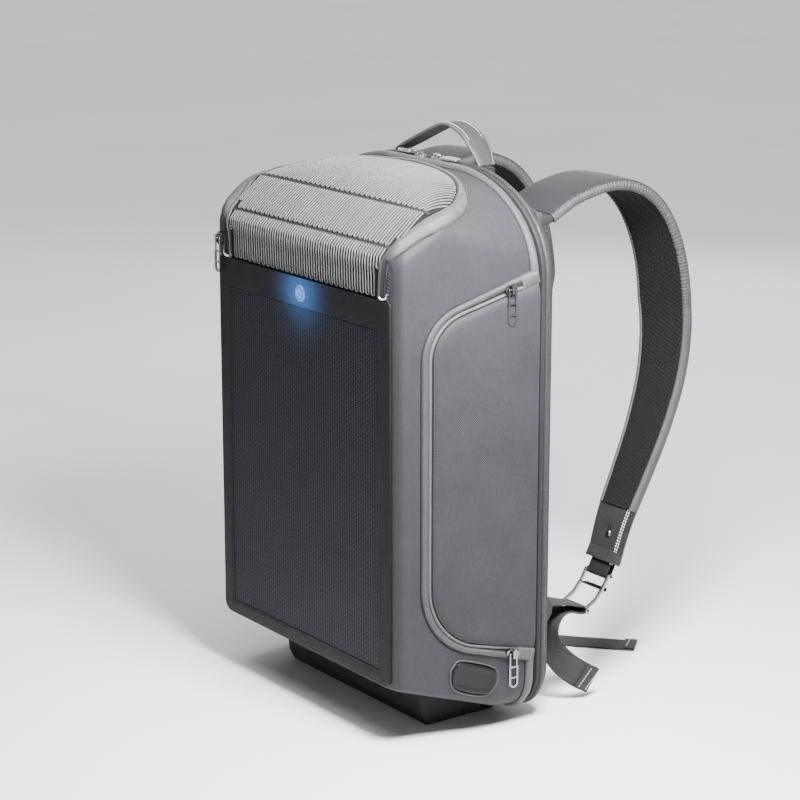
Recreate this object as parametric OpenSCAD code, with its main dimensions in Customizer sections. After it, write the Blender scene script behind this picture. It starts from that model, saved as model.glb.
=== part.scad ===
// Solar backpack. The ground is z = 0, the solar face looks along -Y, the wearer's back is at +Y.
// Depths inside the modules count from the front face; place() moves them to the part's own origin.

/* [Body] */
// Width of the case at its rear edge
body_w = 310; // [304:1:316]
// Width of the flat front face
face_w = 260; // [254:1:264]
// Height of the rear arch
body_h = 475; // [470:1:480]
// Depth from the front face to the back padding
body_d = 170; // [168:1:174]
// Height of the front face's lower edge
face_low = 54; // [50:1:58]
// Height where the front face turns into the sloping top
face_high = 421; // [418:1:424]
// Thickness of the padded fabric skin
skin_t = 3.5; // [2.5:0.5:4]

/* [Solar panel] */
// Width of the solar laminate
cell_w = 224; // [210:1:230]
// Height of the solar laminate
cell_h = 293; // [280:1:296]
// Thickness of the leather-look backing
backing_t = 2.5; // [2:0.5:3]
// Radius of the round power button
button_r = 7.7; // [6:0.1:8]
// Travel of the power button
button_travel = 1; // [0.5:0.1:1.2]

/* [Side pockets] */
// Lowest corner of the pocket door, at the rear
door_low = 71; // [70:1:74]
// Highest corner of the pocket door, at the rear
door_high = 392; // [386:1:394]
// Slant of the door's top edge, in degrees
door_slant = 16.5; // [12:0.5:18]
// Slant of the door's lower edge, in degrees
door_low_slant = 14; // [8:1:16]
// Depth of the pocket behind the door
pocket_depth = 44; // [30:1:44]

/* [Straps] */
// Width of the padded shoulder strap
strap_w = 66; // [60:1:68]
// Width of the adjusting webbing
webbing_w = 25; // [20:1:26]
// Thickness of the webbing
webbing_t = 1.6; // [1.2:0.2:1.8]
// Width of the carry handle
handle_w = 22; // [20:1:24]

/* [Hidden] */
$fn = 48;

gap = 0.4;                      // clearance between pieces that move apart
case_d = 134;                   // depth at which the case meets the main zip
band_y = 138;                   // front edge of the rear band
board_y = 150;                  // front face of the back board
pad_y = 155;                    // rear face of the back board
side_x0 = 138;                  // half-width of the side plane, continued to the front face
splay = atan((body_w / 2 - side_x0) / 137);
bottom_slope = (face_low - 10) / case_d;
seam_low = [9, 429];            // crease between the flap's lower two bands
seam_high = [42, 456];          // crease between the flap's upper two bands
flap_low = 386;                 // height of the flap's hinge line
flap_half_w = 118;              // half-width of the flap's flat front band
panel_half_w = 116;             // half-width of the ribbed panel
flap_centre_y = 48;             // the flap's rear edge is half an ellipse about this depth
flap_ellipse = [147, 74];
arch = [110, 80];               // width and height of the rear outline's high corners
door_rear = 134;
door_front = 34;
door_r_top = 38;
door_r_low = 56;
zip_w = 10;
zip_offset = 5.2;               // distance of a slider's middle from the edge that it runs along
port_centre = [75, 54];         // middle of the charging port on the side plane
port_tilt = -20;
button_z = 373;
handle_y = 152;

// Depth and height of the shoulder strap's middle line, from its root to its lower end
strap_path = [[172, 438], [200, 452], [240, 460], [272, 454], [298, 435], [317, 404], [328, 366],
              [331, 325], [322, 280], [302, 235], [277, 193], [255, 158], [238, 122]];
strap_patch_top = 166;          // the leather-look patch covers the strap below this height
// The same for the lock that joins the strap to the webbing
lock_path = [[234, 112], [227, 101], [219, 92], [207, 85]];
lock_x = 125;
lock_half_w = 16;
// Width direction of webbing that lies across, and of the tail that lies on the ground
across_x = [1, 0, 0];
tail_side = [-0.61, 0.79, 0];

// ---------------------------------------------------------------- helpers

module place() { translate([0, -body_d / 2, 0]) children(); }

function arc(centre, r, a0, a1, n = 8) =
    [for (i = [0:n]) let (a = a0 + (a1 - a0) * i / n) centre + r * [cos(a), sin(a)]];

function bottom_z(y) = face_low - bottom_slope * y;
function side_half_w(y) = side_x0 + y * tan(splay);
function top_z(y) = seam_high[1] + (body_h - seam_high[1]) * (y - seam_high[0]) / (case_d - seam_high[0]);

// A flat outline in depth and height, extruded across the width from x0 to x1
module across(x0, x1) { translate([x0, 0, 0]) rotate([90, 0, 90]) linear_extrude(x1 - x0) children(); }

// A flat outline in width and height, extruded through the depth from y0 to y1
module through(y0, y1) { translate([0, y1, 0]) rotate([90, 0, 0]) linear_extrude(y1 - y0) children(); }

// A flat outline drawn on the right side plane, extruded outwards from low to high
module on_side(low, high) {
    translate([side_x0, 0, 0]) rotate([0, 0, -splay]) rotate([90, 0, 90])
        translate([0, 0, low]) linear_extrude(high - low) children();
}

// Rounded outline with its own radius at the low corners and at the high corners; the high corners
// are ellipses when they have a width w1 of their own
module outline(half_w, z0, z1, r0, r1, w1 = 0) {
    wide = w1 > 0 ? w1 : r1;
    translate([-half_w, z0 + r0]) square([2 * half_w, z1 - z0 - r0 - r1]);
    translate([r0 - half_w, z0]) square([2 * (half_w - r0), r0 + 1]);
    translate([wide - half_w, z1 - r1 - 1]) square([2 * (half_w - wide), r1 + 1]);
    for (side = [-1, 1]) {
        translate([side * (half_w - r0), z0 + r0]) circle(r0);
        translate([side * (half_w - wide), z1 - r1]) scale([wide / r1, 1]) circle(r1);
    }
}

module rear_outline(grow) {
    outline(body_w / 2 + grow, 10 - grow, body_h + grow, 38 + grow, arch[1] + grow, arch[0] + grow);
}

module rounded_box(x0, x1, y0, y1, z0, z1, r) {
    translate([(x0 + x1) / 2, 0, 0]) through(y0, y1) outline((x1 - x0) / 2, z0, z1, r, r);
}

// Smooth curve through a list of points
function spline_point(p, i, t) =
    let (last = len(p) - 1, a = p[max(i - 1, 0)], b = p[i], c = p[min(i + 1, last)], d = p[min(i + 2, last)])
    0.5 * (2 * b + (c - a) * t + (2 * a - 5 * b + 4 * c - d) * t * t + (3 * b - a - 3 * c + d) * t * t * t);
function spline(p, first, last, steps = 3) =
    [for (i = [first:last - 1]) for (k = [0:steps - 1]) spline_point(p, i, k / steps), p[last]];

function direction(p, i) = let (d = p[min(i + 1, len(p) - 1)] - p[max(i - 1, 0)]) d / norm(d);
function beside(p, i, d) = let (t = direction(p, i)) p[i] + d * [-t[1], t[0]];

// Closed outline of a band that follows a flat curve, between two distances from it
function band(p, low, high) = concat(
    [for (i = [0:len(p) - 1]) beside(p, i, low)],
    [for (i = [len(p) - 1:-1:0]) beside(p, i, high)]);

// Triangles between the rings of a swept shape
function tube_walls(rings, sides) =
    [for (i = [0:rings - 2]) for (k = [0:sides - 1]) for (half = [0, 1])
        let (a = sides * i + k, b = sides * i + (k + 1) % sides, c = a + sides, d = b + sides)
        half == 0 ? [a, b, d] : [a, d, c]];

// A flat ribbon along points in space; sides gives its width direction at each point
module ribbon(p, sides, width, thick) {
    n = len(p);
    rings = [for (i = [0:n - 1])
        let (t = direction(p, i), s = sides[i] - (sides[i] * t) * t, w = s / norm(s) * width / 2,
             h = cross(t, w / norm(w)) * thick / 2)
        for (corner = [w + h, h - w, -w - h, w - h]) p[i] + corner];
    polyhedron(rings, concat([[3, 2, 1, 0]], tube_walls(n, 4), [[for (k = [0:3]) 4 * (n - 1) + k]]));
}

// A round cable along points in space
module cable(p, r, sides = 8) {
    n = len(p);
    rings = [for (i = [0:n - 1])
        let (t = direction(p, i), u = cross(t, [0, 0.2, 1]), a = u / norm(u), b = cross(t, a))
        for (k = [0:sides - 1]) p[i] + r * (a * cos(360 * k / sides) + b * sin(360 * k / sides))];
    polyhedron(rings, concat([[for (k = [sides - 1:-1:0]) k]], tube_walls(n, sides),
        [[for (k = [0:sides - 1]) sides * (n - 1) + k]]));
}

// ---------------------------------------------------------------- padded case

// One rounded cross-section of the case, as thin discs for hull()
module slice(y, half_w, z0, z1, r0, r1, w1) {
    for (side = [-1, 1]) {
        translate([side * (half_w - r0), y, z0 + r0]) rotate([-90, 0, 0]) cylinder(r = r0, h = 0.1, $fn = 32);
        translate([side * (half_w - w1), y, z1 - r1]) scale([w1 / r1, 1, 1]) rotate([-90, 0, 0])
            cylinder(r = r1, h = 0.1, $fn = 48);
    }
}

// The case as one block, shrunk by inset; its rear end is at depth y_end
module case_form(inset, y_end) {
    hull() {
        slice(backing_t + inset, face_w / 2 - inset, bottom_z(0) + inset, face_high - inset, 9, 9, 9);
        slice(seam_low[0] + inset, side_half_w(9) - inset, bottom_z(9) + inset, seam_low[1] - inset, 10, 12, 12);
        slice(seam_high[0], side_half_w(42) - inset, bottom_z(42) + inset, seam_high[1] - inset, 10, 20, 24);
        slice(100, side_half_w(100) - inset, bottom_z(100) + inset, top_z(100) - inset, 12, 54, 78);
        slice(y_end - 0.1, side_half_w(case_d) - inset, bottom_z(case_d) + inset, body_h - inset, 38 - inset,
            arch[1] - inset, arch[0] - inset);
    }
}

module case_skin() {
    difference() {
        case_form(0, case_d);
        case_form(skin_t, case_d + 2);
    }
}

// The space that the top flap takes out of the skin, grown by spare on every side
module flap_space(spare) {
    rear_edge = [for (a = [0:10:180])
        [(flap_ellipse[0] + spare) * cos(a), flap_centre_y + (flap_ellipse[1] + spare) * sin(a)]];
    intersection() {
        linear_extrude(body_h + 60) polygon(concat([[-flap_ellipse[0] - spare, -5]], [[flap_ellipse[0] + spare, -5]], rear_edge));
        union() {
            across(-flap_half_w - spare, flap_half_w + spare)
                polygon([[-5, flap_low - spare], [70, flap_low - spare], [140, 440], [140, 540], [-5, 540]]);
            across(-200, 200)
                polygon([[-5, 423 - spare], [55, 448 - spare], [140, 476 - spare], [140, 540], [-5, 540]]);
        }
    }
}

// Height of the door's straight edges at distance s along the side
function top_edge_z(s) = door_high - (door_rear - s) * tan(door_slant);
function low_edge_z(s) = door_low + (door_rear - s) * tan(door_low_slant);

function door_outline(grow) =
    let (top_c = [door_front + door_r_top, top_edge_z(door_front + door_r_top) - door_r_top / cos(door_slant)],
         low_c = [door_front + door_r_low, low_edge_z(door_front + door_r_low) + door_r_low / cos(door_low_slant)])
    concat([[door_rear, door_high + grow / cos(door_slant)]],
           arc(top_c, door_r_top + grow, 90 + door_slant, 180),
           arc(low_c, door_r_low + grow, 180, 270 - door_low_slant),
           [[door_rear, door_low - grow / cos(door_low_slant)]]);

module pocket_mouth(inset) {
    intersection() {
        polygon(door_outline(-inset));
        translate([0, 60]) square([115 - inset, 360]);
    }
}

module port_outline(grow) {
    translate(port_centre) rotate(port_tilt)
        polygon([[-23 - grow, -3], [-15, -12 - grow], [16, -12 - grow], [23 + grow, -4],
                 [23 + grow, 5], [16, 12 + grow], [-17, 12 + grow], [-23 - grow, 6]]);
}

module front_shell() {
    color([0.36, 0.36, 0.38]) place() difference() {
        case_skin();
        flap_space(gap);
        for (side = [0, 1]) mirror([side, 0, 0]) on_side(-12, 6) pocket_mouth(6);
        on_side(-12, 6) port_outline(0);
        translate([0, 0, button_z]) rotate([-90, 0, 0]) cylinder(r = button_r + 1.3, h = 12);
    }
}

module base_foot() {
    color([0.05, 0.05, 0.05]) place() across(-104, 104)
        polygon([[48, bottom_z(48) - 0.1], [case_d, bottom_z(case_d) - 0.1], [case_d, 0], [58, 0]]);
}

// ---------------------------------------------------------------- solar panel and electronics

module bezel_outline() {
    for (side = [-1, 1]) translate([side * 10, button_z]) circle(10);
    translate([-10, button_z - 10]) square([20, 20]);
}

module cell_outline(grow) {
    translate([-cell_w / 2 - grow, 68 - grow]) square([cell_w + 2 * grow, cell_h + 2 * grow]);
}

module solar_backing() {
    color([0.07, 0.07, 0.08]) place() through(0, backing_t) difference() {
        outline(face_w / 2 - 0.5, face_low + 1, flap_low - gap, 9, 2);
        cell_outline(0.1);
        bezel_outline();
    }
}

module solar_laminate() { color([0.07, 0.08, 0.11]) place() through(0.2, backing_t) cell_outline(0); }

module button_bezel() {
    color([0.04, 0.04, 0.045]) place() through(-0.5, backing_t) difference() {
        bezel_outline();
        translate([0, button_z]) circle(button_r + 0.3);
    }
}

module power_button() {
    color([0.2, 0.45, 1]) place() translate([0, -1.3, button_z]) rotate([-90, 0, 0])
        cylinder(r = button_r, h = 6.5);
}

module button_board() {
    color([0.05, 0.3, 0.15]) place() {
        rounded_box(-14, 14, 7, 8.6, button_z - 10, button_z + 10, 1);
        translate([0, 5.2 + button_travel, button_z]) rotate([-90, 0, 0]) cylinder(r = 3, h = 1);
        translate([-12, 0, 0]) rounded_box(-1, 1, 6.2, 7, button_z - 6, button_z + 6, 0.4);
        translate([12, 0, 0]) rounded_box(-1, 1, 6.2, 7, button_z - 6, button_z + 6, 0.4);
    }
}

module junction_box() { color([0.06, 0.06, 0.06]) place() rounded_box(-26, 26, 6, 14, 315, 345, 3); }

module charge_controller() {
    color([0.08, 0.08, 0.09]) place() difference() {
        rounded_box(20, 84, 6, 19, 98, 138, 4);
        translate([80, 13, 118]) rotate([0, 90, 0]) cylinder(r = 1.9, h = 5);
    }
}

module usb_lead() {
    route = [[80, 13, 118], [94, 13, 118], [106, 18, 112], [114, 32, 92], [117, 50, 68], [118, 64, 57], [124, 73, 54], [133.1, 76.1, 54]];
    color([0.05, 0.05, 0.05]) place() cable(spline(route, 0, 7, 4), 1.8);
}

module usb_housing() {
    color([0.05, 0.05, 0.055]) place() difference() {
        on_side(-14, 0.3) port_outline(-0.1);
        on_side(-1.5, 1) port_outline(-2.5);
        on_side(-12.5, 0) translate(port_centre) square([14.6, 7.2], center = true);
    }
}

module usb_socket() {
    color([0.75, 0.76, 0.78]) place() difference() {
        on_side(-12.5, -1.5) translate(port_centre) square([14.4, 7], center = true);
        on_side(-11.5, 0) translate(port_centre) square([12.8, 5.4], center = true);
    }
}

module usb_cover() {
    color([0.03, 0.03, 0.03]) place() difference() {
        on_side(0.8, 3.4) port_outline(-0.6);
        on_side(0, 5) translate(port_centre) rotate(port_tilt) translate([22, -20]) square([10, 40]);
    }
}

// ---------------------------------------------------------------- pockets and lining

module power_bank_pocket() {
    color([0.12, 0.12, 0.13]) place() difference() {
        rounded_box(-44, 44, 28, 50, 80, 220, 2);
        rounded_box(-42.8, 42.8, 29.2, 48.8, 81.2, 230, 1);
    }
}

module inner_divider() { color([0.15, 0.15, 0.16]) place() rounded_box(-86, 86, 26, 28, 52, 386, 2); }

module top_pocket_tray() {
    color([0.15, 0.15, 0.16]) place() difference() {
        across(-112, 112) polygon([[9, 391], [104, 391], [104, 455], [42, 444], [9, 414]]);
        across(-110.5, 110.5) polygon([[10.5, 392.5], [102.5, 392.5], [102.5, 480], [10.5, 480]]);
    }
}

module pocket_liner() {
    difference() {
        on_side(-pocket_depth - skin_t, -skin_t - 0.1) pocket_mouth(4.5);
        on_side(1.5 - pocket_depth - skin_t, 0) pocket_mouth(6);
    }
}

module right_pocket_liner() { color([0.15, 0.15, 0.16]) place() pocket_liner(); }
module left_pocket_liner() { color([0.15, 0.15, 0.16]) place() mirror([1, 0, 0]) pocket_liner(); }

// ---------------------------------------------------------------- zips

module pocket_zip() {
    on_side(0.05, 1.2) difference() {
        polygon(door_outline(zip_w));
        polygon(door_outline(gap));
        translate([door_rear - 0.5, door_low]) square([2, door_high - door_low]);
    }
}

module right_pocket_zip() { color([0.08, 0.08, 0.08]) place() pocket_zip(); }
module left_pocket_zip() { color([0.08, 0.08, 0.08]) place() mirror([1, 0, 0]) pocket_zip(); }

module flap_zip() {
    color([0.08, 0.08, 0.08]) place() for (side = [-1, 1])
        translate([side * 124, 0, 0]) rounded_box(-4, 4, 1.6, backing_t, 388, 418, 1);
}

module main_zip() {
    color([0.08, 0.08, 0.08]) place() through(case_d, band_y - gap) difference() {
        rear_outline(-2.5);
        rear_outline(-5.5);
    }
}

// A zip slider on the ground plane: it runs along X, and its loop of wire stands across pull_turn
module slider(pull_turn) {
    linear_extrude(3.2) {
        square([7, 7.4], center = true);
        for (end = [-1, 1]) translate([end * 3.5, 0]) circle(d = 5);
    }
    rotate(pull_turn) difference() {
        translate([-1.2, -3.6, 2.6]) cube([2.4, 7.2, 3.8]);
        translate([-2, -2.6, 2]) cube([4, 5.2, 3.3]);
    }
}

pull_bar_z = 4.25;              // height of a pull's bar above the slider's foot

// A pull tab: its bar lies along X through the slider's loop, and its frame hangs along -Y
module pull() {
    translate([0, 0, pull_bar_z]) {
        translate([-3.2, 0, 0]) rotate([0, 90, 0]) cylinder(r = 0.75, h = 6.4, $fn = 24);
        for (side = [-1, 1]) translate([side * 3.2, 0, 0]) {
            sphere(r = 0.75, $fn = 24);
            rotate([90, 0, 0]) cylinder(r = 0.75, h = 11, $fn = 24);
        }
        translate([0, 0, -0.75]) linear_extrude(1.5) difference() {
            union() {
                translate([-4.5, -26]) square([9, 15]);
                translate([0, -26]) circle(4.5);
            }
            translate([-2.8, -20.5]) square([5.6, 8]);
            translate([-2.8, -26]) square([5.6, 4]);
            translate([0, -26]) circle(2.8);
        }
    }
}

// Puts a piece that is drawn on the ground plane onto the side plane, at height off above it
module at_side(s, z, off, turn = 0) {
    translate([side_x0, 0, 0]) rotate([0, 0, -splay]) rotate([90, 0, 90])
        translate([s, z, off]) rotate([0, 0, turn]) children();
}

top_slider = [107, top_edge_z(107) + zip_offset / cos(door_slant)];
low_slider = [112, low_edge_z(112) - zip_offset / cos(door_low_slant)];
slider_off = 1.5;

module side_top_slider() { at_side(top_slider[0], top_slider[1], slider_off, door_slant) slider(-door_slant); }
module side_top_pull() { at_side(top_slider[0], top_slider[1], slider_off) pull(); }
module side_low_slider() { at_side(low_slider[0], low_slider[1], slider_off, -door_low_slant) slider(door_low_slant); }
module side_low_pull() { at_side(low_slider[0], low_slider[1], slider_off) pull(); }

module metal() { color([0.6, 0.61, 0.63]) place() children(); }
module metal_left() { color([0.6, 0.61, 0.63]) place() mirror([1, 0, 0]) children(); }

module right_top_slider() { metal() side_top_slider(); }
module right_top_pull() { metal() side_top_pull(); }
module right_low_slider() { metal() side_low_slider(); }
module right_low_pull() { metal() side_low_pull(); }
module left_top_slider() { metal_left() side_top_slider(); }
module left_top_pull() { metal_left() side_top_pull(); }
module left_low_slider() { metal_left() side_low_slider(); }
module left_low_pull() { metal_left() side_low_pull(); }

main_zip_y = 136;
main_slider_x = 12;

module at_top(x) { translate([x, main_zip_y, body_h + gap]) children(); }

module main_right_slider() { metal() at_top(main_slider_x) slider(90); }
module main_right_pull() { metal() at_top(main_slider_x) rotate([0, 0, 90]) pull(); }
module main_left_slider() { metal() at_top(-main_slider_x) slider(90); }
module main_left_pull() { metal() at_top(-main_slider_x) rotate([0, 0, -90]) pull(); }

module at_flap_end() { translate([-126.5, 1.3, 402]) rotate([90, 0, 0]) children(); }
module flap_slider() { metal() at_flap_end() rotate([0, 0, 90]) slider(-90); }
module flap_pull() { metal() at_flap_end() pull(); }

// ---------------------------------------------------------------- flap and doors

module flap_panel() {
    color([0.45, 0.45, 0.47]) place() intersection() {
        case_skin();
        flap_space(0);
        translate([-panel_half_w, 0, 0]) cube([2 * panel_half_w, case_d, 600]);
    }
}

module flap_gusset() {
    color([0.6, 0.6, 0.62]) place() difference() {
        intersection() {
            case_skin();
            flap_space(0);
        }
        translate([-panel_half_w, 0, 0]) cube([2 * panel_half_w, case_d, 600]);
    }
}

module right_pocket_door() { color([0.4, 0.4, 0.42]) place() on_side(0.3, 4.3) polygon(door_outline(0)); }
module left_pocket_door() {
    color([0.4, 0.4, 0.42]) place() mirror([1, 0, 0]) on_side(0.3, 4.3) polygon(door_outline(0));
}

// ---------------------------------------------------------------- back panel

module rear_band() {
    color([0.33, 0.33, 0.35]) place() through(band_y, board_y) difference() {
        rear_outline(0);
        rear_outline(-4);
    }
}

module rear_piping() {
    color([0.25, 0.25, 0.26]) place() through(142, 146.5) difference() {
        rear_outline(2.2);
        rear_outline(0);
    }
}

module back_board() { color([0.1, 0.1, 0.11]) place() through(board_y, pad_y) rear_outline(-5); }

module back_pads() {
    color([0.12, 0.12, 0.13]) place() for (side = [-1, 1]) {
        translate([side * 72, 0, 0]) rounded_box(-57, 57, pad_y, body_d - 2, 326, 412, 22);
        translate([side * 60, 0, 0]) rounded_box(-46, 46, pad_y, body_d - 2, 62, 202, 22);
    }
}

module luggage_strap() {
    color([0.2, 0.2, 0.21]) place() difference() {
        rounded_box(-130, 130, pad_y, 165, 212, 314, 3);
        translate([-114, pad_y - 1, 200]) cube([228, 8.5, 130]);
    }
}

module laptop_sleeve() {
    color([0.15, 0.15, 0.16]) place() difference() {
        rounded_box(-130, 130, 116, board_y, 60, 340, 4);
        translate([-128.5, 118, 61.5]) cube([257, 40, 300]);
    }
}

module strap_yoke() {
    color([0.3, 0.3, 0.31]) place() {
        rounded_box(-128, 128, pad_y, 157.5, 414, 446, 8);
        for (side = [-1, 1]) translate([side * 95, 0, 0]) rounded_box(-33, 33, 157.5, 160, 430, 444, 3);
    }
}

module strap_wings() {
    color([0.3, 0.3, 0.31]) place() for (side = [0, 1]) mirror([side, 0, 0])
        across(lock_x - 12, lock_x + 16) polygon([[pad_y, 74], [167, 92], [167, 101], [pad_y, 118]]);
}

handle_path = [[-46, 484], [-27, 492], [-5, 501.5], [9, 506.5], [20, 507], [32, 504], [44, 497.5], [55, 486]];

// Sewn patches that step from the band down to the back board under the handle's two ends
module handle_anchors() {
    color([0.2, 0.2, 0.21]) place() intersection() {
        union() {
            through(146.8, board_y) difference() {
                rear_outline(2);
                rear_outline(0);
            }
            through(board_y, pad_y) difference() {
                rear_outline(2);
                rear_outline(-5);
            }
        }
        for (x = [-58, 61]) translate([x - 8, 0, 400]) cube([16, 200, 200]);
    }
}

module carry_handle() {
    color([0.35, 0.35, 0.37]) place() through(handle_y - handle_w / 2, handle_y + handle_w / 2)
        polygon(band(spline(handle_path, 0, 7), -1.5, 1.5));
}

// ---------------------------------------------------------------- shoulder straps

// Front view of the strap: wide at the shoulder, narrower and further out at the patch
module strap_front() {
    polygon([[95 - strap_w / 2, 480], [95 - strap_w / 2, 340], [105, 130], [105, 90],
             [145, 90], [145, 130], [100 + strap_w / 2, 340], [95 + strap_w / 2, 480]]);
}

// One layer of the strap between two distances from its middle line, and between two heights
module strap_layer(low, high, z0, z1) {
    intersection() {
        across(50, 160) polygon(band(spline(strap_path, 0, len(strap_path) - 1), low, high));
        through(165, 345) intersection() {
            strap_front();
            translate([50, z0]) square([110, z1 - z0]);
        }
    }
}

module strap_pad() { strap_layer(-3, 5, strap_patch_top, 500); }
module strap_mesh() { strap_layer(-6, -3, strap_patch_top, 500); }
module strap_patch() { strap_layer(-4.5, 3, 100, strap_patch_top); }

module ladder_lock() {
    outer = lock_x + lock_half_w;
    inner = lock_x - lock_half_w;
    for (x = [inner, outer - 2.5]) across(x, x + 2.5) polygon(band(spline(lock_path, 0, 3), -1.8, 1.8));
    for (i = [0, 1, 3]) translate([inner, lock_path[i][0], lock_path[i][1]]) rotate([0, 90, 0])
        cylinder(r = 1.8, h = 2 * lock_half_w, $fn = 24);
}

// The stretch of webbing between the wing and the lock
module anchored_webbing() {
    route = [[lock_x + 2, 173, 97], [lock_x + 1, 184, 95], [lock_x, 198, 90.5]];
    ribbon(spline(route, 0, 2), [for (i = [0:6]) across_x], webbing_w, webbing_t);
}

// The width direction of a tail that twists from across_x to last between two of its points
function twisting(count, turn_start, turn_end, last) =
    [for (i = [0:count - 1]) let (f = min(max((i - turn_start) / (turn_end - turn_start), 0), 1))
        (1 - f) * across_x + f * last];

// The right strap's free end hangs in an arc and turns its face outwards
module hanging_tail() {
    route = [[lock_x, 199, 84], [lock_x, 191, 86], [lock_x + 1, 182, 84.5], [lock_x + 3, 175, 77], [lock_x + 4, 173, 65],
             [lock_x + 6, 178, 51], [lock_x + 8, 189, 37], [lock_x + 9, 204, 25], [lock_x + 9, 219, 16]];
    ribbon(spline(route, 0, 8, 2), spline(twisting(9, 3, 7, [0.15, 0.6, 0.78]), 0, 8, 2), webbing_w, webbing_t);
}

// The left strap's free end drops to the ground and lies there, with its folded tip
module lying_tail() {
    route = [[-lock_x, 199, 84], [-lock_x, 191, 86], [-lock_x, 182, 84.5], [-lock_x, 175, 76],
             [1 - lock_x, 172, 60], [5 - lock_x, 175, 40], [12 - lock_x, 184, 20], [24 - lock_x, 199, 6], [-78, 220, 1.8], [-35, 254, 1.8], [12, 292, 1.8], [38, 315, 1.8], [62, 336, 1.8]];
    ribbon(spline(route, 0, 12, 2), spline(twisting(13, 4, 8, -tail_side), 0, 12, 2), webbing_w, webbing_t);
}

module right_strap_pad() { color([0.4, 0.4, 0.42]) place() strap_pad(); }
module right_strap_mesh() { color([0.1, 0.1, 0.1]) place() strap_mesh(); }
module right_strap_patch() { color([0.12, 0.12, 0.12]) place() strap_patch(); }
module right_strap_webbing() {
    color([0.15, 0.15, 0.15]) place() {
        anchored_webbing();
        hanging_tail();
    }
}
module right_ladder_lock() { metal() ladder_lock(); }

module left_strap_pad() { color([0.4, 0.4, 0.42]) place() mirror([1, 0, 0]) strap_pad(); }
module left_strap_mesh() { color([0.1, 0.1, 0.1]) place() mirror([1, 0, 0]) strap_mesh(); }
module left_strap_patch() { color([0.12, 0.12, 0.12]) place() mirror([1, 0, 0]) strap_patch(); }
module left_strap_webbing() {
    color([0.15, 0.15, 0.15]) place() {
        mirror([1, 0, 0]) anchored_webbing();
        lying_tail();
    }
}
module left_ladder_lock() { metal_left() ladder_lock(); }

// ---------------------------------------------------------------- assembly

front_shell();
base_foot();
solar_backing();
solar_laminate();
junction_box();
charge_controller();
usb_lead();
usb_housing();
usb_socket();
button_bezel();
button_board();
power_bank_pocket();
inner_divider();
top_pocket_tray();
right_pocket_liner();
left_pocket_liner();
flap_zip();
right_pocket_zip();
left_pocket_zip();
main_zip();
power_button();
usb_cover();
flap_panel();
flap_gusset();
right_pocket_door();
left_pocket_door();
back_board();
back_pads();
luggage_strap();
rear_band();
rear_piping();
laptop_sleeve();
strap_yoke();
strap_wings();
handle_anchors();
carry_handle();
right_strap_pad();
right_strap_mesh();
right_strap_patch();
right_strap_webbing();
right_ladder_lock();
left_strap_pad();
left_strap_mesh();
left_strap_patch();
left_strap_webbing();
left_ladder_lock();
right_top_slider();
right_top_pull();
right_low_slider();
right_low_pull();
left_top_slider();
left_top_pull();
left_low_slider();
left_low_pull();
main_right_slider();
main_right_pull();
main_left_slider();
main_left_pull();
flap_slider();
flap_pull();
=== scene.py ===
"""The looks of the solar backpack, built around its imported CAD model. Helper calls take millimetres."""

import math

import bmesh
import bpy
from mathutils import Matrix, Vector, noise


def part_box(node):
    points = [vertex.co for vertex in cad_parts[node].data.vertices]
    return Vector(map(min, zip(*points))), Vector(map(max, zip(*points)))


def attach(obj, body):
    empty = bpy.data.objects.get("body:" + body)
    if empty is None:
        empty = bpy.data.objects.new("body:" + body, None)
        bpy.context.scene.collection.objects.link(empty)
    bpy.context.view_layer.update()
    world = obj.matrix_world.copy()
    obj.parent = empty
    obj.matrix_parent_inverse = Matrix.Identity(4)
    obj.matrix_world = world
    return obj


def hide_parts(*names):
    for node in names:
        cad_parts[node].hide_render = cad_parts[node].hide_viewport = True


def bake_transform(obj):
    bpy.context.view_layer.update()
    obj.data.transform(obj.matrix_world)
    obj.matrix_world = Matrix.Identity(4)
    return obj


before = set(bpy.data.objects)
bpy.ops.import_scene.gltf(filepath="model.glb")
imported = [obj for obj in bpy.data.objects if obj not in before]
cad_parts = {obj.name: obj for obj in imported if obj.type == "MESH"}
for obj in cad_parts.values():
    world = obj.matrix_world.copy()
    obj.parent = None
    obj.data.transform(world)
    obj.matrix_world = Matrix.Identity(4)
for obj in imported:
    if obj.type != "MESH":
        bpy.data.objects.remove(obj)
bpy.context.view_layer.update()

# ---------------------------------------------------------------- sizes, from the frame


def node_box(node):
    """Lowest and highest corner of a CAD node, in millimetres."""
    low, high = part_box(node)
    return low * 1000, high * 1000


FRONT_Y = node_box("solar_backing")[0].y
BAND_LOW, BAND_HIGH = node_box("rear_band")
HALF_W = BAND_HIGH.x
HIGH_Z = BAND_HIGH.z
BAND_FRONT = BAND_LOW.y - FRONT_Y
BAND_REAR = BAND_HIGH.y - FRONT_Y
CASE_D = node_box("front_shell")[1].y - FRONT_Y
BACKING_T = node_box("solar_backing")[1].y - FRONT_Y
FACE_HALF_W = node_box("solar_backing")[1].x + 0.5
FACE_LOW = node_box("solar_backing")[0].z - 1
FLAP_LOW = node_box("flap_panel")[0].z
CELL_LOW, CELL_HIGH = node_box("solar_laminate")
CELLS = (CELL_LOW.x, CELL_LOW.z, CELL_HIGH.x, CELL_HIGH.z)
BUTTON_LOW, BUTTON_HIGH = node_box("power_button")
BUTTON_Z = (BUTTON_LOW.z + BUTTON_HIGH.z) / 2
BUTTON_R = BUTTON_HIGH.x
PAD_FRONT = node_box("back_pads")[0].y - FRONT_Y
PAD_REAR = node_box("back_pads")[1].y - FRONT_Y

CREASE_LOW = (9, 429)  # depth and height of the flap's lower crease
CREASE_HIGH = (42, 456)
SIDE_X0 = 138  # half-width of the side plane, continued to the front face
SPLAY = math.atan2(HALF_W - SIDE_X0, 137)
SKIN = 3.5
LOW_R = 38  # radius of the rear outline's low corners
ARCH = (110, 80)  # width and height of its high corners, which are quarter ellipses

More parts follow.
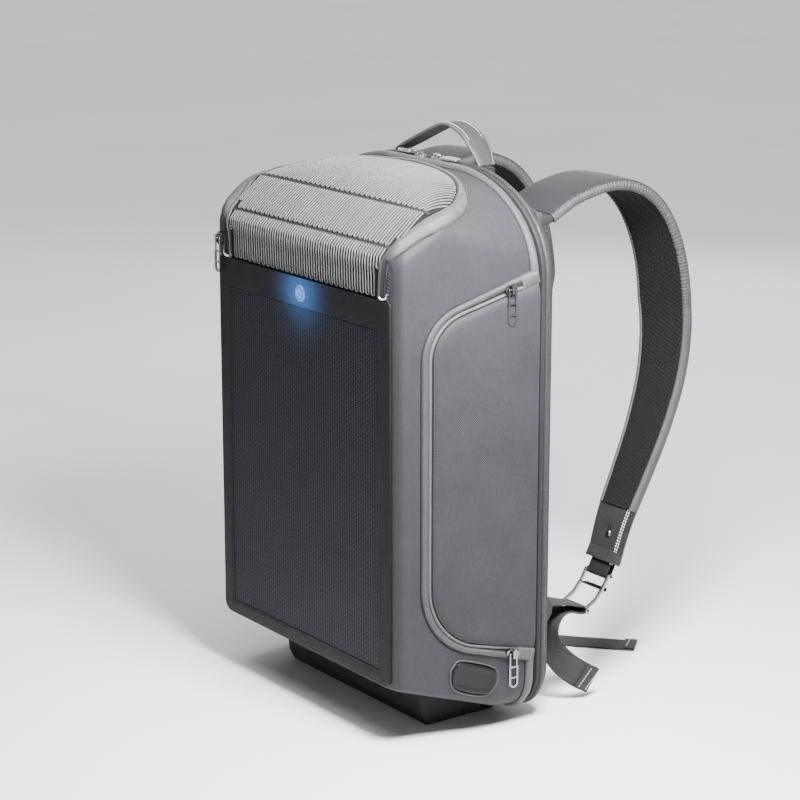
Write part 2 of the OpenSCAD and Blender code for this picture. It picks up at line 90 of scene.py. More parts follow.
DOOR_LOW, DOOR_HIGH = 71, 392
DOOR_FRONT, DOOR_REAR = 34, 134
DOOR_R_TOP, DOOR_R_LOW = 38, 56
DOOR_SLANT, DOOR_LOW_SLANT = math.radians(16.5), math.radians(14)
PORT = (75, 54)  # middle of the charging port on the side plane
PORT_TILT = math.radians(-20)

# The flap's ribbed panel ends along the first line, and the rolled gusset round it along the second:
# width, depth and height, from the front's lower end to the middle of the rear.
PANEL_EDGE = [(112, 2.5, 386), (113, 2.5, 404), (116, 2.5, 418), (120, 9, 429), (123, 22, 439),
              (127, 36, 450), (126, 53, 455), (120, 69, 458), (110, 81, 461), (95, 95, 465),
              (72, 107, 469), (40, 116, 471), (0, 121, 472)]
GUSSET_EDGE = [(122, 2.5, 386), (122, 2.5, 404), (125, 3, 417), (134, 9, 427), (139, 26, 438),
               (140, 42, 443), (136, 61, 448), (125, 81, 455), (103, 98, 463), (77, 111, 469),
               (42, 122, 472), (0, 128, 474)]

# Depth and height of the shoulder strap's middle line, as in the CAD model
STRAP_PATH = [(172, 438), (200, 452), (240, 460), (272, 454), (298, 435), (317, 404), (328, 366),
              (331, 325), (322, 280), (302, 235), (277, 193), (255, 158), (238, 122)]
PATCH_TOP = 166
LOCK_PATH = [(234, 112), (227, 101), (219, 92), (207, 85)]
LOCK_X, LOCK_HALF_W = 125, 16
HANDLE_PATH = [(-59, 477.5), (-46, 483.5), (-27, 492), (-5, 501.5), (9, 506.5), (20, 507),
               (32, 504), (44, 497.5), (55, 486), (61, 476)]
HANDLE_DEPTH = 152
WEBBING_W, WEBBING_T = 25, 1.6
WEB_STEPS = 7

# Width, depth and height of the webbing's routes: from the wing to the lock, and each strap's free tail
ANCHORED_ROUTE = [(127, 173, 97), (126, 184, 95), (125, 198, 90.5)]
HANGING_ROUTE = [(125, 199, 84), (125, 191, 86), (126, 182, 84.5), (128, 175, 77), (129, 173, 65),
                 (131, 178, 51), (133, 189, 37), (134, 204, 25), (134, 219, 16)]
LYING_ROUTE = [(-125, 199, 84), (-125, 191, 86), (-125, 182, 84.5), (-125, 175, 76),
               (-124, 172, 60), (-120, 175, 40), (-113, 184, 20), (-101, 199, 6), (-78, 220, 1.8),
               (-35, 254, 1.8), (12, 292, 1.8), (38, 315, 1.8), (62, 336, 1.8)]


# ---------------------------------------------------------------- places


def mm(x, depth, z):
    """A point in the row frame, from width, depth behind the front face, and height."""
    return Vector((x, depth + FRONT_Y, z)) / 1000


def on_side(s, z, off, side=1):
    """A point at distance s along the side plane, height z, and height off above that plane."""
    x = SIDE_X0 + s * math.sin(SPLAY) + off * math.cos(SPLAY)
    return mm(side * x, s * math.cos(SPLAY) - off * math.sin(SPLAY), z)


def side_normal(side=1):
    return Vector((side * math.cos(SPLAY), -math.sin(SPLAY), 0))


def blend_between(a, b, t):
    return a + (b - a) * t


def spline(points, steps=6, closed=False):
    """A smooth curve through points, with steps pieces between each two."""
    points = [Vector(p) for p in points]
    n = len(points)
    result = []
    for i in range(n if closed else n - 1):
        if closed:
            a, b, c, d = (points[(i + k) % n] for k in (-1, 0, 1, 2))
        else:
            a, b, c, d = (points[min(max(i + k, 0), n - 1)] for k in (-1, 0, 1, 2))
        for k in range(steps):
            t = k / steps
            result.append(0.5 * (2 * b + (c - a) * t + (2 * a - 5 * b + 4 * c - d) * t * t
                                 + (3 * b - a - 3 * c + d) * t ** 3))
    if not closed:
        result.append(points[-1])
    return result


def evenly(path, spacing, closed=False):
    """The same path with a point every spacing millimetres."""
    path = list(path) + ([path[0]] if closed else [])
    lengths = [0]
    for a, b in zip(path, path[1:]):
        lengths.append(lengths[-1] + (b - a).length * 1000)
    count = max(2, round(lengths[-1] / spacing))
    result = []
    j = 0
    for i in range(count if closed else count + 1):
        want = lengths[-1] * i / count
        while j < len(path) - 2 and lengths[j + 1] < want:
            j += 1
        span = lengths[j + 1] - lengths[j] or 1
        result.append(blend_between(path[j], path[j + 1], (want - lengths[j]) / span))
    return result


def arc(centre, radius, start, end, steps=10):
    """Points of an arc in a plane, with its angles in radians."""
    angles = [start + (end - start) * i / steps for i in range(steps + 1)]
    return [(centre[0] + radius * math.cos(a), centre[1] + radius * math.sin(a)) for a in angles]


def circle(centre, radius, sides):
    return arc(centre, radius, 0, math.tau, sides)[:-1]


def oval(width, height, sides):
    return [(width / 2 * x, height / 2 * y) for x, y in circle((0, 0), 1, sides)]


def frames(path, closed=False, normals=None):
    """Each point of a path with its side and normal directions."""
    n = len(path)
    result = []
    normal = None
    for i, point in enumerate(path):
        before = path[(i - 1) % n] if closed else path[max(i - 1, 0)]
        after = path[(i + 1) % n] if closed else path[min(i + 1, n - 1)]
        tangent = (after - before).normalized()
        if normals:
            normal = normals[i]
        elif normal is None:
            normal = Vector((0.2, 0.1, 1)) if abs(tangent.z) < 0.9 else Vector((0, 1, 0.1))
        normal = (normal - tangent * normal.dot(tangent)).normalized()
        result.append((point, tangent.cross(normal), normal))
    return result


# ---------------------------------------------------------------- meshes

# Outline of a stitch or zip tooth, as shares of half its length and of its height
BAR_PROFILE = ((-1, 0), (-0.7, 0.9), (0.7, 0.9), (1, 0), (0.7, -0.6), (-0.7, -0.6))


class Shape:
    """Points and faces being collected for one piece."""

    def __init__(self):
        self.points = []
        self.faces = []

    def grid(self, rows, wrap_rows=False, wrap_columns=False, caps=False):
        """Faces between rows of points; caps close the first and the last row."""
        start = len(self.points)
        width, height = len(rows[0]), len(rows)
        for row in rows:
            self.points.extend(row)
        for i in range(height if wrap_rows else height - 1):
            for k in range(width if wrap_columns else width - 1):
                a, b = start + i * width, start + (i + 1) % height * width
                m = (k + 1) % width
                self.faces.append((a + k, a + m, b + m, b + k))
        if caps:
            self.faces.append([start + k for k in range(width - 1, -1, -1)])
            self.faces.append([start + (height - 1) * width + k for k in range(width)])
        return self

    def sweep(self, path, profile, closed=False, normals=None, scale=None):
        """A closed profile of (across, up) millimetres, carried along a path."""
        rows = []
        for i, (point, side, normal) in enumerate(frames(path, closed, normals)):
            size = (scale[i] if scale else 1) / 1000
            rows.append([point + side * a * size + normal * b * size for a, b in profile])
        return self.grid(rows, wrap_rows=closed, wrap_columns=True, caps=not closed)

    def tube(self, path, radius, sides=8, closed=False, normals=None, scale=None):
        return self.sweep(path, circle((0, 0), radius, sides), closed, normals, scale)

    def prism(self, outline, place, low, high):
        """A flat outline, extruded from low to high; place turns its coordinates into a point."""
        rows = [[place(u, v, w) for u, v in outline] for w in (low, high)]
        return self.grid(rows, wrap_columns=True, caps=True)

    def bars(self, path, normals, pitch, size, skew=0.0):
        """A row of small rounded bars along a path, such as zip teeth or stitches."""
        spots = evenly(path, pitch)
        for i, (point, side, normal) in enumerate(frames(spots, False, resample(normals, len(spots)))):
            tangent = normal.cross(side)
            long, across, high = (v / 1000 for v in size)
            lean = tangent * (across * skew * (1 if i % 2 else -1))
            rings = []
            for t, r in ((-1, 0.55), (-0.7, 1), (0.7, 1), (1, 0.55)):
                middle = point + side * across * t / 2 + lean * t
                along, up = tangent * long / 2 * r, normal * high * r
                rings.append([middle + along * u + up * v for u, v in BAR_PROFILE])
            self.grid(rings, wrap_columns=True, caps=True)
        return self


def resample(values, count):
    """A list of directions, read at count even steps."""
    last = len(values) - 1
    return [values[min(round(i * last / max(count - 1, 1)), last)] for i in range(count)]


def mesh_object(name, shape, smooth=50):
    """A scene object from a shape, with its faces turned outwards."""
    mesh = bpy.data.meshes.new(name)
    mesh.from_pydata([tuple(p) for p in shape.points], [], [tuple(f) for f in shape.faces])
    mesh.validate()
    outward = bmesh.new()
    outward.from_mesh(mesh)
    bmesh.ops.recalc_face_normals(outward, faces=outward.faces)
    outward.to_mesh(mesh)
    outward.free()
    obj = bpy.data.objects.new(name, mesh)
    bpy.context.scene.collection.objects.link(obj)
    soften(obj, smooth)
    return obj


def soften(obj, angle):
    """Smooth shading, with edges kept where faces turn by more than angle."""
    obj.data.shade_smooth()
    obj.data.set_sharp_from_angle(angle=math.radians(angle))


def settle(obj):
    """Turns the object's modifiers into plain mesh."""
    depsgraph = bpy.context.evaluated_depsgraph_get()
    mesh = bpy.data.meshes.new_from_object(obj.evaluated_get(depsgraph))
    obj.modifiers.clear()
    obj.data = mesh
    soften(obj, 50)
    return obj


def modified(obj, kind, **settings):
    """Adds a modifier with its settings, and applies it."""
    modifier = obj.modifiers.new(kind.lower(), kind)
    for key, value in settings.items():
        setattr(modifier, key, value)
    return settle(obj)


def cut(obj, shape):
    """Cuts a closed shape out of an object."""
    cutter = mesh_object("cutter", shape)
    modified(obj, "BOOLEAN", object=cutter, operation="DIFFERENCE", solver="EXACT")
    bpy.data.objects.remove(cutter)
    return obj


def inflate(obj, cap, pressure, held=()):
    """Swells a padded piece by cloth simulation: held points stay, the others move up to cap millimetres."""
    cloth = obj.modifiers.new("cloth", "CLOTH")
    cloth.settings.use_pressure = True
    cloth.settings.uniform_pressure_force = pressure
    cloth.settings.effector_weights.gravity = 0
    if held:
        obj.vertex_groups.new(name="held").add(list(held), 1.0, "REPLACE")
        cloth.settings.vertex_group_mass = "held"
    cloth.point_cache.frame_start, cloth.point_cache.frame_end = 1, 20
    for step in range(1, 21):
        bpy.context.scene.frame_set(step)
    swollen = obj.evaluated_get(bpy.context.evaluated_depsgraph_get()).data
    moves = [new.co - old.co for new, old in zip(swollen.vertices, obj.data.vertices)]
    obj.modifiers.clear()
    obj.vertex_groups.clear()
    for vertex, move in zip(obj.data.vertices, moves):
        vertex.co += move * min(1, cap / 1000 / max(move.length, 1e-9))
    bpy.context.scene.frame_set(1)
    return obj


def piece(name, shape, material, body, replaces=(), smooth=50):
    """Makes a visible piece from a shape or an object, on a body, in place of CAD nodes."""
    obj = mesh_object(name, shape, smooth) if isinstance(shape, Shape) else shape
    obj.name = name
    obj.data.materials.clear()
    obj.data.materials.append(material)
    if body:
        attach(obj, body)
    if replaces:
        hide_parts(*replaces)
    return obj


# ---------------------------------------------------------------- materials


class Graph:
    """A material whose shader nodes are added with short calls."""

    def __init__(self, name, **inputs):
        self.material = bpy.data.materials.new(name)
        self.material.use_nodes = True
        self.tree = self.material.node_tree
        self.shader = self.tree.nodes["Principled BSDF"]
        for key, value in inputs.items():
            self.shader.inputs[key.replace("_", " ").title().replace("Ior", "IOR")].default_value = value
        self.place = self.node("ShaderNodeTexCoord").outputs["Object"]

    def node(self, kind, **settings):
        node = self.tree.nodes.new(kind)
        for key, value in settings.items():
            setattr(node, key, value)
        return node

    def feed(self, socket, value):
        if isinstance(value, bpy.types.NodeSocket):
            self.tree.links.new(value, socket)
        else:
            socket.default_value = value

    def math(self, operation, a, b=0.0, c=0.0):
        node = self.node("ShaderNodeMath", operation=operation)
        for socket, value in zip(node.inputs, (a, b, c)):
            self.feed(socket, value)
        return node.outputs[0]

    def along(self, direction):
        """Position along a direction, in millimetres."""
        node = self.node("ShaderNodeVectorMath", operation="DOT_PRODUCT")
        self.feed(node.inputs[0], self.place)
        node.inputs[1].default_value = [1000 * v for v in direction]
        return node.outputs["Value"]

    def distance(self, centre, unit):
        """Distance from a point, in units of so many millimetres."""
        node = self.node("ShaderNodeVectorMath", operation="DISTANCE")
        self.feed(node.inputs[0], self.place)
        node.inputs[1].default_value = centre
        return self.math("MULTIPLY", node.outputs["Value"], 1000 / unit)

    def waves(self, direction, pitch, shift=None):
        """Parallel threads, from 0 between them to 1 on them."""
        turn = self.math("MULTIPLY", self.along(direction), math.tau / pitch)
        if shift is not None:
            turn = self.math("ADD", turn, shift)
        return self.math("MULTIPLY_ADD", self.math("SINE", turn), 0.5, 0.5)

    def noise(self, size, detail=3.0, stretch=(1, 1, 1)):
        """Noise whose spots are about size millimetres."""
        mapping = self.node("ShaderNodeMapping")
        self.feed(mapping.inputs["Vector"], self.place)
        mapping.inputs["Scale"].default_value = stretch
        node = self.node("ShaderNodeTexNoise")
        self.feed(node.inputs["Vector"], mapping.outputs[0])
        node.inputs["Scale"].default_value = 1000 / size
        node.inputs["Detail"].default_value = detail
        return node.outputs["Fac"]

    def cells(self, size):
        node = self.node("ShaderNodeTexVoronoi", feature="SMOOTH_F1")
        self.feed(node.inputs["Vector"], self.place)
        node.inputs["Scale"].default_value = 1000 / size
        return node.outputs["Distance"]

    def ramp(self, factor, *stops):
        """Colours or greys at given places between 0 and 1."""
        node = self.node("ShaderNodeValToRGB")
        while len(node.color_ramp.elements) < len(stops):
            node.color_ramp.elements.new(0.5)
        for element, (at, colour) in zip(node.color_ramp.elements, stops):
            element.position = at
            element.color = (*colour, 1) if isinstance(colour, tuple) else (colour, colour, colour, 1)
        self.feed(node.inputs[0], factor)
        return node.outputs[0]

    def finish(self, colour=None, roughness=None, height=None, depth=0.3):
        """Links colour, roughness and bump; depth is the bump's height in millimetres."""
        if colour is not None:
            self.feed(self.shader.inputs["Base Color"], colour)
        if roughness is not None:
            self.feed(self.shader.inputs["Roughness"], roughness)
        if height is not None:
            bump = self.node("ShaderNodeBump")
            bump.inputs["Distance"].default_value = depth / 1000
            self.feed(bump.inputs["Height"], height)
            self.feed(self.shader.inputs["Normal"], bump.outputs[0])
        return self.material


def scaled(colour, k):
    return tuple(c * k for c in colour)


def woven(name, colour, pitch=1.6, depth=0.14, rough=0.55, sheen=0.05, contrast=0.4, slow=0.1):
    """A fine weave of small dots with slubs, slow variation of shade, and a soft sheen."""
    g = Graph(name, Sheen_Weight=sheen, Sheen_Roughness=0.3, Specular_IOR_Level=0.12)
    drift = g.math("MULTIPLY", g.noise(5, 1), 2.0)
    up, down = (g.waves((0.7, 0.7, rise), pitch, drift) for rise in (0.7, -0.7))
    slub = g.noise(2.2, 2, (1, 1, 0.4))
    threads = g.math("MULTIPLY_ADD", slub, 0.35, g.math("MULTIPLY", g.math("MULTIPLY", up, down), 0.75))
    shade = g.ramp(threads, (0.1, scaled(colour, 1 - contrast)), (0.75, scaled(colour, 1 + contrast)))
    patches = g.ramp(g.noise(55, 3), (0.3, 1 - slow), (0.7, 1 + slow))
    mixed = g.node("ShaderNodeMix", data_type="RGBA", blend_type="MULTIPLY")
    mixed.inputs[0].default_value = 1.0
    g.feed(mixed.inputs[6], shade)
    g.feed(mixed.inputs[7], patches)
    roughness = g.math("MULTIPLY_ADD", slub, 0.25, rough - 0.12)
    return g.finish(mixed.outputs[2], roughness, threads, depth)


def satin(name, colour, rough=0.42):
    """Smooth fabric with very fine threads and pulled, shiny folds."""
    g = Graph(name, Sheen_Weight=0.05, Sheen_Roughness=0.35, Specular_IOR_Level=0.35)
    threads = g.math("ADD", g.waves((0.9, 0.8, 0.2), 0.55), g.waves((0.2, -0.6, 0.9), 0.7))
    folds = g.noise(9, 2, (1, 1, 0.4))
    shade = g.ramp(g.math("MULTIPLY_ADD", folds, 0.6, g.math("MULTIPLY", threads, 0.25)),
                   (0.2, scaled(colour, 0.7)), (0.8, scaled(colour, 1.25)))
    height = g.math("ADD", g.math("MULTIPLY", threads, 0.25), g.math("MULTIPLY", folds, 1.6))
    return g.finish(shade, g.math("MULTIPLY_ADD", folds, 0.3, rough - 0.15), height, 0.35)


def corded(name, colour):
    """A braided cord with a bright top."""
    g = Graph(name, Sheen_Weight=0.05, Sheen_Roughness=0.3, Specular_IOR_Level=0.35)
    braid = g.math("MAXIMUM", g.waves((0.7, 0.9, 0.9), 1.0), g.waves((0.7, -0.9, -0.9), 1.0))
    fluff = g.noise(2.2, 3)
    shade = g.ramp(g.math("MULTIPLY_ADD", fluff, 0.6, g.math("MULTIPLY", braid, 0.4)),
                   (0.25, scaled(colour, 0.55)), (0.75, scaled(colour, 1.25)))
    return g.finish(shade, g.math("MULTIPLY_ADD", fluff, 0.3, 0.35), braid, 0.15)


def leather(name, colour, size=1.15, rough=0.55, painted_glow=0.0):
    """Pebbled coated fabric, a little shiny where it is rubbed, and optionally carrying the lit button's
    painted glow.
    """
    g = Graph(name, Specular_IOR_Level=0.1)
    pebbles = g.cells(size)
    wear = g.noise(30, 4)
    shade = g.ramp(g.math("MULTIPLY_ADD", wear, 0.5, g.math("MULTIPLY", pebbles, 0.7)),
                   (0.2, scaled(colour, 0.75)), (0.8, scaled(colour, 1.7)))
    height = g.math("ADD", g.math("MULTIPLY", pebbles, -1.0), g.math("MULTIPLY", g.noise(0.5, 2), 0.3))
    # painted glow: the lit button's light added as emission in this surface
    if painted_glow:
        paint_button_glow(g, painted_glow)
    return g.finish(shade, g.math("MULTIPLY_ADD", wear, 0.3, rough - 0.15), height, 0.3)


# The lit button's glow on the frame and the film is painted light, added as emission to their surfaces.
GLOW_REACH = 24  # how far the lit button shines, in millimetres


def paint_button_glow(g, strength):
    """Paints the lit button's blue light onto what lies round it, as emission in that surface."""
    near = g.distance(mm(0, 0, BUTTON_Z), GLOW_REACH)
    fade = g.math("POWER", 2.718, g.math("MULTIPLY", g.math("MULTIPLY", near, near), -1.0))
    g.shader.inputs["Emission Color"].default_value = (0.12, 0.36, 1, 1)
    g.feed(g.shader.inputs["Emission Strength"], g.math("MULTIPLY", fade, strength))


def laminate_material():
    """Dark coated film over the cells, with a fine grid of dots and drawn lines, and the lit button's painted
    glow.
    """
    g = Graph("cell_film", Specular_IOR_Level=0.1, Coat_Weight=0.02, Coat_Roughness=0.4)
    dots = g.math("MULTIPLY", g.waves((1, 0, 0.5), 2.2), g.waves((1, 0, -0.5), 2.2))
    lines = g.waves((1, 0, 0), 3.4)
    speckle = g.noise(1.1, 2)
    pattern = g.math("MULTIPLY_ADD", lines, 0.25, g.math("MULTIPLY", dots, 0.4))
    shade = g.ramp(g.math("MULTIPLY_ADD", speckle, 0.35, pattern),
                   (0.2, (0.0015, 0.002, 0.003)), (0.5, (0.005, 0.006, 0.0085)), (0.85, (0.06, 0.068, 0.082)))
    # painted glow from the lit button, as emission in the film
    paint_button_glow(g, 0.25)
    return g.finish(shade, g.math("MULTIPLY_ADD", speckle, 0.2, 0.48), dots, 0.06)


def moulded(name, colour, rough=0.5, grain=0.06):
    """Moulded plastic or rubber with a fine grain and slight handling marks."""
    g = Graph(name, Specular_IOR_Level=0.22)
    fine, marks = g.noise(0.45, 2), g.noise(14, 4)
    shade = g.ramp(marks, (0.3, scaled(colour, 0.85)), (0.75, scaled(colour, 1.25)))
    return g.finish(shade, g.math("MULTIPLY_ADD", marks, 0.25, rough - 0.12), fine, grain)


def air_mesh(name, colour, pitch=4.2):
    """Spacer mesh with rows of small dark holes."""
    g = Graph(name, Sheen_Weight=0.01, Sheen_Roughness=0.5, Specular_IOR_Level=0.08)
    a = g.waves((0.35, 0.9, 1.0), pitch)
    b = g.waves((1.0, -0.25, -0.3), pitch * 0.8)
    holes = g.math("MULTIPLY", a, b)
    thread = g.waves((0.8, 0.7, 0.7), 0.9)
    height = g.math("SUBTRACT", g.math("MULTIPLY", thread, 0.2), g.math("POWER", holes, 2.0))
    shade = g.ramp(holes, (0.35, colour), (0.62, scaled(colour, 0.18)))
    return g.finish(shade, 0.75, height, 0.9)


def herringbone(name, colour, pitch=1.5):
    """Webbing whose threads change direction every few millimetres."""
    g = Graph(name, Sheen_Weight=0.05, Sheen_Roughness=0.4, Specular_IOR_Level=0.2)
    zigzag = g.math("PINGPONG", g.along((1, 0.25, 0)), 3.2)
    thread = g.waves((0, 0.75, 0.75), pitch, g.math("MULTIPLY", zigzag, 2.6))
    fuzz = g.noise(1.2, 3)
    shade = g.ramp(g.math("MULTIPLY_ADD", fuzz, 0.4, g.math("MULTIPLY", thread, 0.5)),
                   (0.15, scaled(colour, 0.45)), (0.8, scaled(colour, 1.5)))
    return g.finish(shade, 0.68, g.math("MULTIPLY_ADD", fuzz, 0.4, thread), 0.25)


def ribbed(name, colour, pitch=2.2):
    """Fabric tape with ribs across it."""
    g = Graph(name, Sheen_Weight=0.05, Sheen_Roughness=0.35, Specular_IOR_Level=0.25)
    ribs = g.waves((1, 0.1, 1), pitch)
    fuzz = g.noise(3, 3)
    shade = g.ramp(g.math("MULTIPLY_ADD", fuzz, 0.5, g.math("MULTIPLY", ribs, 0.4)),
                   (0.2, scaled(colour, 0.5)), (0.8, scaled(colour, 1.4)))
    return g.finish(shade, 0.5, ribs, 0.2)


def polished(name, colour, rough=0.2):
    """Plated metal with faint scratches."""
    g = Graph(name, Metallic=1.0)
    scratches = g.noise(3, 5, (1, 1, 0.1))
    shade = g.ramp(scratches, (0.35, scaled(colour, 0.85)), (0.7, scaled(colour, 1.1)))
    return g.finish(shade, g.math("MULTIPLY_ADD", scratches, 0.2, rough - 0.06), scratches, 0.01)


def button_light():
    """Translucent plastic lit from behind."""
    g = Graph("button_light", Roughness=0.25, Specular_IOR_Level=0.5)
    g.shader.inputs["Emission Color"].default_value = (0.1, 0.3, 0.8, 1)
    near = g.distance(mm(0, 0, BUTTON_Z), BUTTON_R)
    ring = g.math("COMPARE", near, 0.42, 0.07)
    strength = g.math("MULTIPLY_ADD", g.math("SUBTRACT", 1.0, near), 0.7, 0.35)
    strength = g.math("MULTIPLY_ADD", ring, 0.9, g.math("MAXIMUM", strength, 0.25))
    g.feed(g.shader.inputs["Emission Strength"], strength)
    return g.finish(g.ramp(g.noise(3), (0.3, (0.03, 0.08, 0.2)), (0.7, (0.05, 0.11, 0.26))))


TWILL = woven("grey_twill", (0.027, 0.027, 0.0295))
TWILL_DARK = woven("dark_twill", (0.02, 0.02, 0.0215))
SATIN = satin("gusset_satin", (0.05, 0.05, 0.0535))
# a lighter copy of the satin for the pocket zip's lip: a painted highlight
PAINTED_HIGHLIGHT_SATIN = satin("lip_highlight_satin", (0.068, 0.068, 0.072), 0.34)
SATIN_DARK = satin("binding_satin", (0.022, 0.022, 0.024), 0.45)
RIB_BASE = woven("rib_base", (0.008, 0.008, 0.009), pitch=0.8, sheen=0.05)
CORD = corded("silver_cord", (0.095, 0.097, 0.102))
STRAP_TWILL = woven("strap_twill", (0.017, 0.017, 0.0185))
# a darker satin; on the pocket zip's outer roll its darkness is painted shade
ROLL_SATIN = satin("roll_satin", (0.034, 0.034, 0.0365))
LINING = woven("lining", (0.045, 0.045, 0.05), pitch=0.9, depth=0.1, rough=0.5, sheen=0.1)
BLACK_CLOTH = woven("black_coated", (0.014, 0.014, 0.015), pitch=0.9, rough=0.55, sheen=0.05)
# the frame carries the lit button's painted glow as emission
FRAME_LEATHER = leather("frame_leather", (0.005, 0.005, 0.0056), painted_glow=0.5)
PATCH_LEATHER = leather("patch_leather", (0.014, 0.014, 0.015), 0.9, 0.4)
FILM = laminate_material()
PLASTIC = moulded("black_plastic", (0.02, 0.02, 0.022), 0.45)
RUBBER = moulded("soft_rubber", (0.004, 0.004, 0.005), 0.55, grain=0.03)
BOARD_GREEN = moulded("circuit_board", (0.02, 0.14, 0.06), 0.4, grain=0.02)
STEEL = polished("socket_steel", (0.6, 0.6, 0.62), 0.3)
GUNMETAL = polished("zip_metal", (0.22, 0.223, 0.235), 0.2)
SILVER = polished("lock_silver", (0.66, 0.67, 0.69), 0.2)
TAPE = woven("zip_tape", (0.022, 0.022, 0.024), pitch=0.8, depth=0.12, sheen=0.1)
COIL = moulded("zip_coil", (0.028, 0.028, 0.03), 0.4)
MESH = air_mesh("air_mesh", (0.007, 0.007, 0.0075))
PAD_MESH = air_mesh("pad_mesh", (0.016, 0.016, 0.0175), 3.4)
WEBBING = herringbone("webbing", (0.022, 0.022, 0.0235))
HANDLE_CLOTH = woven("handle_twill", (0.03, 0.03, 0.032), pitch=1.1)
PIPING = ribbed("piping", (0.025, 0.025, 0.027))
THREAD_LIGHT = moulded("light_thread", (0.5, 0.5, 0.52), 0.6)
THREAD_GREY = moulded("grey_thread", (0.17, 0.17, 0.18), 0.6)
# dark thread for the frame's stitches, and painted shade for the dark lines in the pocket zips' seams and at
# the case's rear roll
DARK_THREAD_AND_SEAM_SHADOW = moulded("dark_thread_and_seam_shadow", (0.008, 0.008, 0.009), 0.8)
LIT = button_light()

# ---------------------------------------------------------------- camera, light and floor

# Places in metres, the lens in millimetres
CAMERA_PLACE = (1.6759, -1.2026, 0.7920)
CAMERA_TARGET = (0.0275, 0, 0.2723)
CAMERA_LENS = 108.8
FLOOR_REACH = 30


def put(obj, place, target):
    """Adds a camera or light to the scene, pointed at a target."""
    bpy.context.scene.collection.objects.link(obj)
    obj.location = place
    obj.rotation_euler = (Vector(target) - Vector(place)).to_track_quat("-Z", "Y").to_euler()


def camera():
    """The camera at the angle from which the object was photographed."""
    data = bpy.data.cameras.new("camera")
    data.lens = CAMERA_LENS
    obj = bpy.data.objects.new("camera", data)
    put(obj, CAMERA_PLACE, CAMERA_TARGET)
    bpy.context.scene.camera = obj


def area_light(name, place, target, size, power):
    data = bpy.data.lights.new(name, "AREA")
    data.shape = "DISK"
    data.size = size
    data.energy = power
    put(bpy.data.objects.new(name, data), place, target)


def stage():
    """A pale floor, a pale sky and soft lights."""
    rows = [[Vector((x, y, 0)) for x in (-FLOOR_REACH, FLOOR_REACH)] for y in (-FLOOR_REACH, FLOOR_REACH)]
    floor = mesh_object("floor", Shape().grid(rows))
    g = Graph("floor_paint", Specular_IOR_Level=0.25)
    shade = g.ramp(g.noise(400, 2), (0.3, (0.8, 0.8, 0.81)), (0.7, (0.84, 0.84, 0.85)))
    floor.data.materials.append(g.finish(shade, 0.7))
    world = bpy.data.worlds.new("studio")
    world.use_nodes = True
    world.node_tree.nodes["Background"].inputs[0].default_value = (0.95, 0.97, 1, 1)
    world.node_tree.nodes["Background"].inputs[1].default_value = 0.24
    bpy.context.scene.world = world
    sun = bpy.data.lights.new("overhead", "SUN")
    sun.energy = 2.6
    sun.angle = math.radians(50)
    overhead = bpy.data.objects.new("overhead", sun)
    overhead.rotation_euler = (math.radians(4), math.radians(6), 0)
    bpy.context.scene.collection.objects.link(overhead)
    area_light("key", (0.46, -0.1, 0.76), (0.13, 0, 0.36), 0.25, 36)
    area_light("low", (1.6, -0.9, 0.25), (0, 0, 0.05), 0.5, 1.2)
    area_light("rear", (-1.2, 1.4, 1.1), (0, 0.1, 0.3), 1.6, 16)


camera()
stage()

# ---------------------------------------------------------------- the padded case

# Cross-sections of the case: depth, half-width, low and high edge, low corner radius, and the height
# and width of its elliptical high corners
SECTIONS = [
    (2.5, 130, 53.2, 421, 9, 9, 9),
    (9, 139.1, 51, 429, 10, 12, 12),
    (42, 143.2, 40.2, 456, 10, 20, 24),
    (100, 150.4, 21.2, 468, 12, 54, 78),
    (134, 154.6, 10, 475, LOW_R, ARCH[1], ARCH[0]),
]
FRONT_ROUNDING = 2.2


def section(depth):
    """Half-width, edges and radii of the case at a depth."""
    for a, b in zip(SECTIONS, SECTIONS[1:]):
        if depth <= b[0]:
            t = max(depth - a[0], 0) / (b[0] - a[0])
            half_w, *rest = (p + (q - p) * t for p, q in zip(a[1:], b[1:]))
            if a is SECTIONS[0]:
                half_w += FRONT_ROUNDING * math.sin(math.pi * t)
            return [half_w] + rest
    return SECTIONS[-1][1:]


def case_ring(depth, inset=0.0):
    """Points round the case at a depth, from the bottom's middle up the right side and down the left."""
    half_w, low, high, r_low, r_high, w_high = section(depth)
    half_w, low, high = half_w - inset, low + inset, high - inset
    r_low, r_high, w_high = (max(r - inset, 1) for r in (r_low, r_high, w_high))
    half = [((half_w - r_low) * k / 8, low) for k in range(8)]
    half += arc((half_w - r_low, low + r_low), r_low, -math.pi / 2, 0, 8)
    side_low, side_high = low + r_low, high - r_high
    half += [(half_w, side_low + (side_high - side_low) * k / 24) for k in range(1, 24)]
    quarter = arc((0, 0), 1, 0, math.pi / 2, 16)
    half += [(half_w - w_high * (1 - x), high - r_high * (1 - z)) for x, z in quarter]
    half += [((half_w - w_high) * (1 - k / 10), high) for k in range(1, 10)]
    half.append((0, high))
    left = [(-x, z) for x, z in half[-2:0:-1]]
    return half + left


def case_z(x, depth):
    """Height of the case's top at a place."""
    half_w, _, high, _, r_high, w_high = section(depth)
    over = min(max(abs(x) - (half_w - w_high), 0) / w_high, 1)
    return high - r_high * (1 - math.sqrt(1 - over ** 2))


def case_depths():
    """Depths of the case's rings, closer together at the front."""
    front = [2.5, 3.1, 4, 5.3, 7, 9]
    return front + [9 + 125 * k / 40 for k in range(1, 41)]


def door_corner_centres():
    """Centres of the arcs at the pocket door's two front corners."""
    top = DOOR_FRONT + DOOR_R_TOP
    low = DOOR_FRONT + DOOR_R_LOW
    return ((top, top_edge_z(top) - DOOR_R_TOP / math.cos(DOOR_SLANT)),
            (low, low_edge_z(low) + DOOR_R_LOW / math.cos(DOOR_LOW_SLANT)))


def top_edge_z(s):
    return DOOR_HIGH - (DOOR_REAR - s) * math.tan(DOOR_SLANT)


def low_edge_z(s):
    return DOOR_LOW + (DOOR_REAR - s) * math.tan(DOOR_LOW_SLANT)


